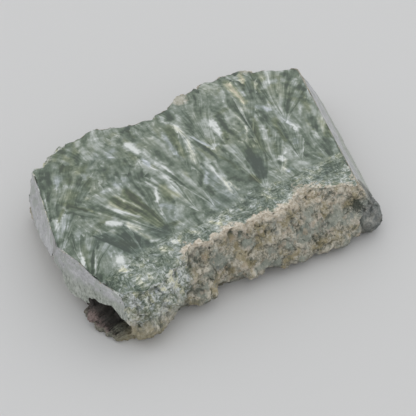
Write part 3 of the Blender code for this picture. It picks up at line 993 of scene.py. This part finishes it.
KNOBS = [
    (-33.9, -14.2, 2.4, 1.5, 1.2), (-33.4, -16.4, 2.5, 1.2, 1.0), (-33.6, -15.8, 0.9, 1.4, 1.1),
    (-33.1, -17.8, 0.9, 1.3, 0.9), (-32.6, -19.7, 1.0, 1.3, 0.7), (-34.5, -12.2, 0.9, 1.1, 0.7),
]
KNOB_ROOT = -1.8
CORNER_KNOB = Vector((22.7, -19.2, 3.3)) * MM
CORNER_RADIUS = 3.5
CORNER_REACH = 1.3
KNOB_LUMPS, KNOB_LUMP_SIZE = 0.3, 0.9
KNOB_GRAIN, KNOB_GRAIN_SIZE = 0.35, 0.4
CORNER_LUMPS, CORNER_LUMP_SIZE = 0.12, 1.6
CORNER_GRAIN, CORNER_GRAIN_SIZE = 0.09, 0.55
ABOVE_GROUND = 0.02 * MM


def raise_knobs(bm, loops):
    """Raises rounded knobs past the left cut, and rounds the one at the right corner."""
    fixed = {vert for loop in loops for vert in loop}
    outward = planes["left_end"][1]
    for vert in bm.verts:
        if vert in fixed:
            continue
        lumps = 1.0 + KNOB_LUMPS * noise.noise(vert.co / (KNOB_LUMP_SIZE * MM))
        for x, y, z, radius, out in KNOBS:
            away = (vert.co - Vector((x, y, z)) * MM) / MM
            along = away.dot(outward)
            aside = (away - outward * along).length / radius
            if aside < 1.0 and along > KNOB_ROOT:
                top = out * radius * math.sqrt(1.0 - aside * aside) * lumps
                top += KNOB_GRAIN * noise.noise(vert.co / (KNOB_GRAIN_SIZE * MM))
                vert.co += outward * (max(0.0, top - along) * MM)
        away = vert.co - CORNER_KNOB
        if 0.0 < away.length < CORNER_REACH * CORNER_RADIUS * MM:
            uneven = 1.0 + CORNER_LUMPS * noise.noise(away / (CORNER_LUMP_SIZE * MM))
            uneven += CORNER_GRAIN * noise.noise(away / (CORNER_GRAIN_SIZE * MM))
            place = CORNER_KNOB + away.normalized() * (CORNER_RADIUS * MM * uneven)
            vert.co = Vector((place.x, place.y, max(place.z, ABOVE_GROUND)))


skin = bmesh.new()
skin.from_mesh(skin_mesh)
all_loops = border_loops(skin)
cut_loops = press_flat(skin, all_loops)
raise_knobs(skin, all_loops)
for name, own in cut_loops.items():
    print(f"{name}: borders of {[len(loop) for loop in own]} corners")

# %% Fill each cut with small triangles
GRID = {"polished": 0.7, "base": 1.5, "left_strip": 0.62, "left_end": 0.5, "right_end": 0.8}
FINE_GRID = {"polished": 0.34, "base": 0.7, "left_strip": 0.34, "left_end": 0.34, "right_end": 0.34}
CLEAR_OF_BORDER = 0.45
SIDE_ORDER = {"polished": 0, "left_strip": 1, "left_end": 1, "right_end": 1, "base": 2, "rind": 3}


def drawn_lines(loops, shapes):
    """The points of open lines that lie clear of the border, and the edges between neighbours."""
    border = np.concatenate(loops)
    tree = search_tree([(x, y, 0.0) for x, y in border])
    points, edges = [], []
    for shape in shapes:
        kept = inside_loops(shape, loops)
        number = {}
        for i, spot in enumerate(shape):
            if kept[i] and tree.find((*spot, 0.0))[2] > CLEAR_OF_BORDER:
                number[i] = len(points)
                points.append(spot)
        edges += [(number[i], number[i + 1]) for i in number if i + 1 in number]
    return np.array(points).reshape(-1, 2), edges


def fill_cut(bm, name, loops):
    """Closes a cut with triangles. Those of the polished face follow the fans and quills."""
    flat = on_plane(name, loops)
    shapes = []
    if name == "polished":
        point, normal = planes[name]
        u, v = across(normal)
        start = np.array((point.x, point.y)) / MM
        turn = np.array(((u.x, v.x), (u.y, v.y)))
        closed = [np.vstack([fan["outline"], fan["outline"][:1]]) for fan in fans]
        quills = [feather["quill"] for feather in feathers if "quill" in feather]
        shapes = [(line - start) @ turn for line in closed + quills]
    drawn, edges = drawn_lines(flat, shapes)
    return fill_flat(bm, name, loops, flat, grid_spots(flat, GRID[name], FINE_GRID[name]), drawn, edges)


for face in skin.faces:
    face.material_index = SIDE_ORDER["rind"]
    face.smooth = True
cut_faces = {}
for name, own in cut_loops.items():
    cut_faces[name] = fill_cut(skin, name, own)
    for face in cut_faces[name]:
        face.material_index = SIDE_ORDER[name]
        face.smooth = name == "polished"
    print(f"{name}: filled with {len(cut_faces[name])} triangles")
open_edges = [edge for edge in skin.edges if edge.is_boundary]
if open_edges:
    mended = bmesh.ops.holes_fill(skin, edges=open_edges, sides=0)["faces"]
    print(f"{len(open_edges)} edges were open, and {len(mended)} faces close them")
print("edges that aren't between two faces:", sum(not edge.is_manifold for edge in skin.edges))

# %% [markdown]
# ## The worn rim
#
# A polishing wheel is soft, so it rounds the face a little where the rock ends. Each
# corner of the mesh also learns how far it is from the rim of the polished face, because
# the weathered crust is a tan band that follows that rim on both of its sides.

# %% Round the rim and store its distance
WORN_WIDTH = 0.75
WORN_DEPTH = 0.17 * MM
FAR_FROM_RIM = 9.0


def rim_tree(bm, faces):
    """A search tree of the corners on the border of the polished face."""
    own = set(faces)
    rim = {
        vert for face in faces for edge in face.edges
        if any(other not in own for other in edge.link_faces) for vert in edge.verts
    }
    return search_tree([vert.co for vert in rim])


SHOULDER_DROP = 1.3 * MM
SHOULDER_WIDTH = 4.2
SHOULDER_ENDS = (-15.0, -21.0)
SHOULDER_FRONT, SHOULDER_FADE = -11.0, 3.0
SHOULDER_FOOT = 5.0
SHOULDER_CRUMB, SHOULDER_CRUMB_SIZE = 0.5, 0.9


def shoulder(bm, tree):
    """Lets the face slope down into the rind at its front left, where no polish has reached."""
    for vert in bm.verts:
        x, y, z = vert.co / MM
        gap = tree.find(vert.co)[2] / MM
        if y > SHOULDER_FRONT or z < SHOULDER_FOOT or gap > SHOULDER_WIDTH:
            continue
        share = min(1.0, max(0.0, (SHOULDER_ENDS[0] - x) / (SHOULDER_ENDS[0] - SHOULDER_ENDS[1])))
        share *= (1.0 - gap / SHOULDER_WIDTH) ** 2 * min(1.0, (SHOULDER_FRONT - y) / SHOULDER_FADE)
        crumb = 1.0 + SHOULDER_CRUMB * noise.noise(vert.co / (SHOULDER_CRUMB_SIZE * MM))
        vert.co.z -= SHOULDER_DROP * share * crumb


def finish_mesh(bm):
    """Rounds the rim, stores each corner's distance to it, and returns the mesh."""
    tree = rim_tree(bm, cut_faces["polished"])
    layer = bm.verts.layers.float.new("from_rim")
    for vert in bm.verts:
        vert[layer] = min(tree.find(vert.co)[2] / MM, FAR_FROM_RIM)
    top = {vert for face in cut_faces["polished"] for vert in face.verts}
    for vert in top:
        share = max(0.0, 1.0 - vert[layer] / WORN_WIDTH)
        vert.co.z -= WORN_DEPTH * share**2
    shoulder(bm, tree)
    for edge in bm.edges:
        edge.smooth = len({face.material_index for face in edge.link_faces}) < 2
    bm.normal_update()
    mesh = bpy.data.meshes.new("feathered_rock")
    bm.to_mesh(mesh)
    for name in ("custom_normal", "sharp_face"):
        if name in mesh.attributes:
            mesh.attributes.remove(mesh.attributes[name])
    return mesh


rock_mesh = finish_mesh(skin)
rock = bpy.data.objects.new("feathered_rock", rock_mesh)
bpy.context.scene.collection.objects.link(rock)
print("rock:", sum(len(face.vertices) - 2 for face in rock_mesh.polygons), "triangles")

# %% [markdown]
# ## Combing the fibres
#
# The shader has to know, at each place, which fibre it is on. So every corner of a
# triangle gets the ratio of how far aside to how far along it lies in its fan, the
# distance from the fan's point, and a number for the fan. The feathers give it a tone
# and a hue. Each lies over those before it and fades out at its edges.

# %% Give each triangle its fan
OWN_TONE = 0.45
TONE_SWAY, TONE_SIZE = 0.16, 6.0
DARKER_RIGHT, RIGHT_END = 0.07, 30.0
HUE_SWAY, HUE_SIZE = 0.9, 7.0
GREENER_BACK, BACK_END = 0.25, 8.0
START_FADE, END_FADE = 0.15, 0.35
FAN_APART = 7.3
OWN_RATIO = 0.05
LEAST_FAR = 0.05
INSIDE = 3.0
SWAY = 3.0
SWAY_SIZE = 7.0
BEND = 0.10
BEND_SIZE = 8.0


def soft_noise(places, size, seed):
    """Smooth noise from -1 to 1 at each place."""
    return np.array([noise.noise(Vector((x / size, y / size, seed))) for x, y in places])


def fibre_in(fan, number, places):
    """For places in a fan: how far aside to how far along, how far along, and the fan's number."""
    away = places - np.array(fan["apex"])
    far = np.maximum(away @ np.array(fan["along"]), LEAST_FAR)
    bend = soft_noise(places.reshape(-1, 2), BEND_SIZE, number).reshape(far.shape)
    ratio = (away @ np.array(fan["aside"])) / far + BEND * bend
    fibre = np.stack([ratio, far, np.full_like(far, FAN_APART * number)], axis=-1)
    return fibre, (fan["slope"] - abs(ratio)) * far


def corner_places(mesh, side):
    """The corners of the triangles on one side of the slice, and their vertices."""
    vertex = np.zeros(len(mesh.loops), np.int32)
    mesh.loops.foreach_get("vertex_index", vertex)
    faces = [face for face in mesh.polygons if face.material_index == SIDE_ORDER[side]]
    corners = np.array([list(face.loop_indices)[:3] for face in faces])
    return corners, vertex[corners]


def comb(mesh, side, layers):
    """The fibre of every corner on one side of the slice, and how far inside its fan it is."""
    corners, verts = corner_places(mesh, side)
    places = flat[verts]
    middles = places.mean(axis=1)
    sway = soft_noise(middles, SWAY_SIZE, 9.0)[:, None] * SWAY
    aside = OWN_RATIO * (places[..., 0] + sway)
    own = np.stack([aside, places[..., 1], np.zeros(verts.shape)], axis=-1)
    inside = np.full(verts.shape, INSIDE)
    for number, fan in enumerate(layers):
        within = inside_loops(middles, [fan["outline"]])
        own[within], inside[within] = fibre_in(fan, number, places[within])
    return corners, own, inside


# %% Give each corner its tone


def share_of(feather, places):
    """How much of a feather's tone each place takes: all in its middle, none at its edge."""
    away = places - np.array(feather["apex"])
    far = away @ np.array(feather["along"])
    half = feather["slope"] * np.maximum(far, LEAST_FAR)
    within = half - abs(away @ np.array(feather["aside"]))
    width = np.clip(within / (feather["soft"] * half), 0.0, 1.0)
    run = feather["length"] - feather["start"]
    ends = np.clip((far - feather["start"]) / (START_FADE * run), 0.0, 1.0)
    ends *= np.clip((feather["length"] - far) / (END_FADE * run), 0.0, 1.0)
    share = np.minimum(1.0, FULLNESS * width * ends)
    return feather["strength"] * share * share * (3.0 - 2.0 * share)


def tones(places):
    """Tone and hue at each place of the polished face, with one feather laid over the next."""
    tone = OWN_TONE + TONE_SWAY * soft_noise(places, TONE_SIZE, 1.0)
    tone -= DARKER_RIGHT * np.clip(places[:, 0] / RIGHT_END, 0.0, 1.0)
    hue = HUE_SWAY * soft_noise(places, HUE_SIZE, 6.0)
    hue -= GREENER_BACK * np.clip(places[:, 1] / BACK_END, -1.0, 1.0)
    for feather in feathers:
        share = share_of(feather, places)
        tone += (feather["tone"] - tone) * share
        hue += (feather["hue"] - hue) * share
    return tone, hue


def write_corners(mesh, name, values):
    """Stores a vector for every corner of every face."""
    stored = mesh.attributes.new(name, "FLOAT_VECTOR", "CORNER")
    stored.data.foreach_set("vector", values.ravel())


co = np.zeros(len(rock_mesh.vertices) * 3, np.float32)
rock_mesh.vertices.foreach_get("co", co)
flat = co.reshape(-1, 3)[:, :2].astype(float) / MM
fibre = np.zeros((len(rock_mesh.loops), 3), np.float32)
look = np.zeros((len(rock_mesh.loops), 3), np.float32)
for side in ("polished", "base"):
    corners, fibre[corners], look[corners, 2] = comb(rock_mesh, side, fans)
corners, verts = corner_places(rock_mesh, "polished")
used = np.unique(verts)
tone_at = np.zeros((len(flat), 2))
tone_at[used] = np.stack(tones(flat[used]), axis=-1)
look[corners, :2] = tone_at[verts]
write_corners(rock_mesh, "fibre", fibre)
write_corners(rock_mesh, "look", look)
print("combed the polished face and the base")

# %% [markdown]
# ## The feathered face
#
# The fibres are green where they point away from the eye and silver where they lie flat.
# That silver, and the brightest patches of it, is partly the fibres' own pale colour and
# partly a painted sheen, fixed in the colour as if seen from one side.
# The stored ratio says which fibre a place is on, so noise that changes fast with the
# ratio and slowly with the distance draws the fibres, and they spread as real ones do.
# Towards the front the fans break up into small grains.

# %% Start of a paint


def new_paint(name):
    """A material, and the place on the slice in millimetres."""
    paint = bpy.data.materials.get(name) or bpy.data.materials.new(name)
    paint.use_nodes = True
    coordinates = paint.node_tree.nodes.new("ShaderNodeTexCoord")
    place = Wire(coordinates.outputs["Object"]).vector("SCALE", 1.0 / MM)
    return paint, place


def finish_paint(paint, colour, roughness, height, relief):
    """Links what varies. The relief is the height's full range in millimetres."""
    tree = paint.node_tree
    shader = tree.nodes["Principled BSDF"]
    sockets = {"Height": height, "Distance": relief * MM, "Strength": 1.0}
    bump = colour.node("ShaderNodeBump", {}, sockets)
    for name, wire in (("Base Color", colour), ("Roughness", roughness), ("Normal", bump)):
        tree.links.new(wire.socket, shader.inputs[name])
    print(paint.name, "has", len(tree.nodes), "nodes")
    return paint


def layered(colour, layers):
    """The colour under layers of others, each with its share, the lowest first."""
    for share, other in layers:
        colour = colour.tint(share, other)
    return colour


def ramp(wire, stops):
    """The colours of the stops, by the value on the wire."""
    made = wire.node("ShaderNodeValToRGB", {}, {"Fac": wire})
    points = made.socket.node.color_ramp.elements
    while len(points) < len(stops):
        points.new(0.5)
    for point, (place, colour) in zip(points, stops):
        point.position = place
        point.color = (*colour, 1.0)
    return made


def near(place, middle, radius, wobble=0.0):
    """1 close to a point of the slice, and 0 a little outside the radius."""
    gap = place.vector("DISTANCE", middle, output=1)
    return (gap + wobble).rise(radius, 0.55 * radius)


# %% Polished face
GREENS = [
    (0.0, (0.036, 0.055, 0.036)), (0.25, (0.092, 0.129, 0.086)), (0.5, (0.198, 0.234, 0.188)),
    (0.72, (0.348, 0.382, 0.346)), (0.88, (0.515, 0.542, 0.515)), (1.0, (0.670, 0.695, 0.670)),
]
OLIVE = (1.05, 1.00, 0.78, 1.0)
STEEL = (0.96, 0.98, 1.08, 1.0)
CRUST = (1.12, 0.97, 0.98, 1.0)
CRUST_STOPS = [(0.3, (0.29, 0.245, 0.18)), (0.46, (0.52, 0.445, 0.345)), (0.62, (0.70, 0.65, 0.555))]
PALE_LUMPS = [(21.7, 22.2, 12.2), (4.5, 20.8, 12.4)]
RAYS = (6.5, 0.07)
FIBRES = (17.0, 0.14)
THREADS = (48.0, 0.25)
SLANT = 0.35
COAT = 0.25
COAT_ROUGHNESS = 0.22


def stretched(fibre, across_scale, along_scale):
    """The place on a fibre, for noise that runs along it. A slant hides the noise's own grid."""
    ratio, far, seed = fibre.split()
    aside = ratio * across_scale
    sockets = {0: aside, 1: far * along_scale + aside * SLANT, 2: seed + far * (0.5 * along_scale)}
    return fibre.node("ShaderNodeCombineXYZ", {}, sockets)


def paint_polished():
    """Fans and feathers of fibres under a polish."""
    paint, place = new_paint("polished_feathers")
    flat = place.vector("MULTIPLY", (1.0, 1.0, 0.0))
    fibre = place.attribute("fibre", "Vector")
    look = place.attribute("look", "Vector")
    tone, hue, inside = look.split()
    rays = stretched(fibre, *RAYS).noise(1.0, 1.0, 0.5, at=6.0)
    fibres = stretched(fibre, *FIBRES).noise(1.0, 2.0, 0.55)
    threads = stretched(fibre, *THREADS).noise(1.0, 2.0, 0.5, at=3.0)
    mottle = flat.noise(1.3, 3.0, 0.6, at=5.0)
    tone = tone + rays.swing(1.1) + fibres.swing(0.95) + threads.swing(0.4) + mottle.swing(0.8)
    line = abs(rays - 0.5).rise(0.022, 0.0) + abs(fibres - 0.44).rise(0.016, 0.0) * 0.7
    edge = (inside + mottle.swing(0.6)).rise(0.3, 0.05)
    tone = tone + line * mottle.rise(0.42, 0.60) * 0.21 + edge * 0.2
    tone, hue = grains(flat, tone, hue)
    colour = crust_on_rim(tinted(ramp(tone, GREENS), hue), place)
    shader = paint.node_tree.nodes["Principled BSDF"]
    shader.inputs["Coat Weight"].default_value = COAT
    shader.inputs["Coat Roughness"].default_value = COAT_ROUGHNESS
    return finish_paint(paint, colour, 0.5 - tone * 0.1, tone, 0.03)


def mosaic(place, middle):
    """Small grains of fibre that lie every way: their colour, tone and hue."""
    sockets = {"Vector": place, "Scale": 0.8, "Detail": 3.0}
    bent = place.vector("ADD", place.node("ShaderNodeTexNoise", {}, sockets, 1))
    value, other, turn = bent.cells(0.95, "F1", "Color").split()
    straight = place.vector("MULTIPLY", (0.7, 1.5, 1.2)).noise(0.6, 4.0, 0.68, at=11.0)
    upright = place.vector("MULTIPLY", (1.6, 0.7, 1.0)).noise(0.6, 4.0, 0.68, at=12.0)
    streak = straight.blend(turn.rise(0.62, 0.70), upright)
    lump = place.noise(2.6, 2.0, at=15.0)
    tone = middle + value.swing(0.3) + streak.swing(2.9) + lump.swing(2.0)
    hue = other.swing(1.6) + lump.swing(-3.0)
    return tinted(ramp(tone, GREENS), hue), tone, hue


def tinted(colour, hue):
    """The colour turned to olive, steel or rust by the hue."""
    colour = colour.tint(hue.rise(0.0, -1.0), OLIVE, "MULTIPLY")
    colour = colour.tint(hue.rise(0.0, 1.0), STEEL, "MULTIPLY")
    return colour.tint(hue.rise(-1.3, -1.8), CRUST, "MULTIPLY")


def grains(place, tone, hue):
    """The fibres end in a band of small grains, along the front and at the left corner."""
    front = place.dot((-0.10, 1.0, 0.0)) + place.noise(4.0, 2.0, at=30.0).swing(6.0)
    mask = front.rise(-10.8, -13.6)
    _, own, own_hue = mosaic(place, 0.46)
    return tone.blend(mask * 0.8, own), hue.blend(mask * 0.8, own_hue)


def crust_on_rim(colour, place):
    """The weathered crust, where it reaches over the front rim of the face."""
    rim = place.attribute("from_rim")
    right = place.dot((1.0, 0.0, 0.0)).rise(5.0, 12.0)
    wobble = place.noise(2.2, 4.0, 0.65, at=21.0).swing(6.0)
    crumbs = place.noise(0.9, 4.0, 0.7, at=23.0).swing(9.0)
    band = (rim + wobble + right * 1.2).rise(0.8, 0.2)
    broken = (rim + wobble * 0.5 + crumbs).rise(0.7, 0.3) * right * 0.8
    front = place.dot((0.45, 1.0, 0.0)).rise(-5.0, -8.0)
    sideways = place.dot((1.0, 0.0, 0.0)).rise(-20.0, -17.0)
    crust = ramp(place.noise(0.5, 3.0, 0.6, at=2.0), CRUST_STOPS)
    for middle in PALE_LUMPS:
        colour = colour.tint(near(place, middle, 2.4, wobble * 0.5 + crumbs * 0.4) * 0.5, crust)
    return colour.tint(band.math("MAXIMUM", band, broken) * front * sideways, crust)


polished_feathers = paint_polished()

# %% [markdown]
# ## Sawn ends and base
#
# The ends and the base were sawn but never polished. There the fibres are cut across, so
# they show as fine specks in a lavender grey, under the faint arcs that a saw leaves. The
# base has the same green fans as the face, but dull.

# %% Sawn ends
SAWN_STOPS = [(0.32, (0.24, 0.245, 0.24)), (0.48, (0.425, 0.425, 0.435)), (0.66, (0.59, 0.59, 0.595))]
SAWN_GREEN = (0.30, 0.33, 0.285, 1.0)
LOW_STOPS = [(0.34, (0.085, 0.10, 0.075)), (0.46, (0.29, 0.315, 0.27)), (0.64, (0.50, 0.52, 0.47))]
SAW_SPACING = 0.55
FRINGE_STOPS = [(0.4, (0.42, 0.30, 0.19)), (0.5, (0.50, 0.43, 0.33)), (0.6, (0.66, 0.64, 0.58))]
SPECK_STOPS = [(0.0, (0.10, 0.11, 0.10)), (1.0, (0.62, 0.62, 0.58))]


def saw_marks(place, direction):
    """Fine ridges across a direction, bent a little, as a blade leaves them."""
    bent = place.dot(direction) + place.noise(14.0, 1.0) * 3.0
    wave = bent.math("SINE", bent * (2.0 * math.pi / SAW_SPACING))
    return wave * place.noise(5.0, 2.0, at=8.0).rise(0.4, 0.7)


def paint_sawn():
    """Lavender grey specks under faint saw marks, with a chipped greenish foot."""
    paint, place = new_paint("sawn_ends")
    cloud = place.noise(4.0, 4.0, 0.6)
    grain = place.noise(0.45, 3.0, 0.7, at=4.0)
    kind, value, _ = place.cells(0.8, "F1", "Color").split()
    speck = place.cells(0.8).rise(0.26, 0.16) * kind.rise(0.72, 0.76)
    low = place.dot((0.0, 0.12, 1.0)) + cloud.swing(7.0)
    leaning = place.vector("MULTIPLY", (1.0, 1.6, 0.7)).noise(0.7, 4.0, 0.68, at=37.0)
    fringe = (place.attribute("from_rim") + place.noise(0.7, 4.0, 0.7, at=14.0).swing(4.0)).rise(0.6, 0.1)
    colour = layered(ramp(cloud * 0.45 + grain * 0.55, SAWN_STOPS), [
        (place.noise(2.2, 3.0, 0.6, at=33.0).rise(0.46, 0.62) * 0.6, SAWN_GREEN),
        (speck * 0.8, ramp(value.rise(0.45, 0.55), SPECK_STOPS)),
        (low.rise(7.6, 5.2) * 0.85, ramp(leaning, LOW_STOPS)),
        (fringe * 0.8, ramp(place.noise(0.35, 2.0, at=16.0), FRINGE_STOPS)),
    ])
    marks = saw_marks(place, (0.15, 0.35, 1.0))
    height = 0.5 + marks * 0.12 + grain.swing(0.9) - speck * 0.4
    return finish_paint(paint, colour, 0.62 - grain.swing(0.3), height, 0.06)


sawn_ends = paint_sawn()

# %% Sawn base
BASE_STOPS = [(0.3, (0.085, 0.105, 0.088)), (0.5, (0.19, 0.215, 0.185)), (0.72, (0.36, 0.38, 0.35))]


def paint_base():
    """Dull fans of fibres under saw marks."""
    paint, place = new_paint("sawn_base")
    fibre = place.attribute("fibre", "Vector")
    fibres = stretched(fibre, *FIBRES).noise(1.0, 3.0, 0.62)
    tone = 0.5 + fibres.swing(0.9) + place.noise(3.0, 3.0).swing(0.6)
    colour = ramp(tone, BASE_STOPS)
    marks = saw_marks(place, (1.0, 0.2, 0.0))
    height = 0.5 + marks * 0.2 + place.noise(0.4, 3.0, 0.7, at=3.0).swing(0.6)
    return finish_paint(paint, colour, 0.66 - marks * 0.05, height, 0.06)


sawn_base = paint_base()

# %% [markdown]
# ## The rind
#
# The weathered rock is a mixture that no single noise gives. It is built up as the eye
# takes it apart: clouds of grey, olive and green, grains of one tone each, short pale
# fibres, dark pits, and the tan crust along the rim. The stored depth says where the pits
# and creases are, and a dark green is painted there as shade, so it always sits in a real
# hollow. The lowest few millimetres, a slot at the right corner and the inside of the
# hollow at the left are darkened as painted shade too.

# %% Weathered rind
ROCK_STOPS = [
    (0.18, (0.065, 0.070, 0.052)), (0.36, (0.200, 0.192, 0.148)),
    (0.54, (0.345, 0.320, 0.255)), (0.82, (0.560, 0.520, 0.435)),
]
OCHRE = (0.30, 0.25, 0.13, 1.0)
MOSS_GREY = (0.25, 0.275, 0.235, 1.0)
CHALK = (0.60, 0.59, 0.53, 1.0)
# A near-black green for painted shade in pits, creases and a slot.
PIT_SHADE_GREEN = (0.032, 0.042, 0.030, 1.0)
BENT_EDGE = (0.36, 0.36, 0.355, 1.0)
KNOB_STOPS = [(0.38, (0.055, 0.062, 0.062)), (0.5, (0.14, 0.155, 0.158)), (0.62, (0.27, 0.28, 0.27))]
FOOT_STAIN = (0.24, 0.20, 0.10, 1.0)
FOOT_ROCK_STOPS = [(0.38, (0.075, 0.078, 0.060)), (0.5, (0.185, 0.19, 0.15)), (0.64, (0.33, 0.32, 0.25))]
# The colour of the painted shade low on the wall.
UNDER_SHADE = (0.135, 0.128, 0.100, 1.0)
GRAIN_STOPS = [
    (0.0, (0.050, 0.065, 0.050)), (0.3, (0.080, 0.100, 0.075)), (0.5, (0.17, 0.19, 0.19)),
    (0.7, (0.36, 0.27, 0.18)), (0.9, (0.56, 0.49, 0.42)),
]
# Near black deep in the hollow as painted shade, then the knobs' own maroon brown.
LUMP_AND_HOLLOW_SHADE_STOPS = [
    (0.0, (0.020, 0.017, 0.015)), (0.45, (0.055, 0.043, 0.040)),
    (0.75, (0.15, 0.108, 0.10)), (1.0, (0.27, 0.205, 0.19)),
]
CORNER_BLUE = ((25.0, -19.0, 4.5), 8.0)
SHADED_SLOT = ((19.4, -20.2, 7.9), 2.0)
STAINED_FOOT = ((-29.5, -23.0, 0.5), 6.0)
HOLLOW = ((-33.0, -15.5, 3.0), 7.0)
BEND_LINE = ((-36.3, -2.9, 10.2), 5.5)


def rock_layers(place, cloud, fine, wobble):
    """Stains of ochre and moss grey, chalky streaks, single grains, a blue-grey knob, a stained foot, and
    painted shade low on the wall and in a slot.
    """
    other_cloud = place.noise(3.4, 3.0, 0.6, at=13.0)
    chalk = place.noise(0.9, 4.0, 0.7, at=41.0).rise(0.56, 0.66)
    grain, other, _ = place.vector("ADD", fine * 1.5).cells(0.8, "F1", "Color").split()
    low = (place.dot((0.0, 0.0, 1.0)) + wobble * 0.4).rise(3.4, 0.4)
    knob = ramp(cloud * 0.6 + fine * 0.4, KNOB_STOPS)
    return [
        (other_cloud.rise(0.51, 0.62) * 0.6, OCHRE),
        (other_cloud.rise(0.49, 0.38) * 0.75, MOSS_GREY),
        (chalk * 0.5, CHALK),
        (grain.rise(0.74, 0.80) * 0.5, ramp(other, GRAIN_STOPS)),
        # Darker towards the foot: painted shade where the wall curves under.
        (low * 0.45, UNDER_SHADE),
        (near(place, *CORNER_BLUE, wobble * 0.5) * 0.8, knob),
        # A dark slot near the right corner: painted shade in the pocket there.
        (near(place, *SHADED_SLOT, fine.swing(3.0)) * 0.85, PIT_SHADE_GREEN),
        (near(place, *STAINED_FOOT, wobble * 0.5) * 0.6, FOOT_STAIN),
    ]


def crust_layers(place, rim, left, wobble, crust_colour):
    """The tan crust under the rim, crumbled at the right, and the green grains at the left."""
    right = left.rise(5.0, 12.0)
    crust = (rim + place.noise(2.2, 4.0, 0.65, at=21.0).swing(4.5) - right * 2.0).rise(1.6, 0.7)
    crust = crust * (1.0 - right * (1.0 - place.noise(0.9, 4.0, 0.7, at=23.0).rise(0.50, 0.58)))
    front = place.dot((0.0, 1.0, 0.0)).rise(6.0, 0.0) * left.rise(-22.0, -18.0)
    corner = (left + wobble).rise(-15.5, -19.0) * (rim + wobble).rise(10.0, 4.5)
    return [
        (crust * front * 0.85 * left.rise(26.0, 20.0), crust_colour),
        (corner * 0.85, mosaic(place, 0.72)[0]),
    ]


def hollow_layers(place, cloud, fine, streak, wobble):
    """The hollow under the left corner, darkened deep inside as painted shade, its brown knobs, and its
    paler foot.
    """
    past_cut = place.dot(tuple(CUTS["left_end"])) + fine.swing(3.2) + streak.swing(2.0)
    foot_rock = (place.dot((0.0, 0.0, 1.0)) + cloud.swing(2.5)).rise(1.9, 1.2)
    # Deep inside the hollow the ramp runs to near black, which is painted shade; further out it gives the
    # knobs' own maroon brown.
    knobs = ramp(past_cut.rise(35.2, 38.9), LUMP_AND_HOLLOW_SHADE_STOPS)
    knobs = knobs.tint(foot_rock * 0.8, ramp(fine, FOOT_ROCK_STOPS))
    return [(near(place, *HOLLOW, wobble * 0.3) * 0.95, knobs)]


def paint_rind():
    """Crumbly grey, olive and green rock with a tan crust along the rim."""
    paint, place = new_paint("weathered_rind")
    rim = place.attribute("from_rim")
    cloud = place.noise(2.6, 5.0, 0.62)
    fine = place.noise(0.34, 3.0, 0.7, at=7.0)
    streak = place.vector("MULTIPLY", (1.3, 1.0, 0.55)).noise(0.75, 3.0, 0.66, at=19.0)
    wobble = cloud.swing(6.0)
    left = place.dot((1.0, 0.0, 0.0))
    crust_colour = ramp(place.noise(0.5, 3.0, 0.6, at=2.0), CRUST_STOPS)
    colour = ramp(0.54 + cloud.swing(1.6) + fine.swing(1.1) + streak.swing(1.2), ROCK_STOPS)
    colour = layered(colour, rock_layers(place, cloud, fine, wobble))
    colour = layered(colour, crust_layers(place, rim, left, wobble, crust_colour))
    colour = layered(colour, hollow_layers(place, cloud, fine, streak, wobble))
    colour = layered(colour, [
        # Pits and creases darkened by their stored depth: painted shade.
        (place.attribute("depth").rise(-0.2, -0.7) * 0.7, PIT_SHADE_GREEN),
        (near(place, *BEND_LINE) * 0.95, BENT_EDGE),
        *((near(place, middle, 2.7, wobble * 0.3) * 0.75, crust_colour) for middle in PALE_LUMPS),
    ])
    height = fine * 0.7 + streak * 0.5
    return finish_paint(paint, colour, 0.86 - fine * 0.12, height, 0.13)


weathered_rind = paint_rind()
for paint in (polished_feathers, sawn_ends, sawn_base, weathered_rind):
    rock_mesh.materials.append(paint)

# %% [markdown]
# ## Handing the slice over
#
# The finished rock takes the place of the plain solid and rides on the one body there is.

# %% Hand over
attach(rock, "root")
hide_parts(NODE)
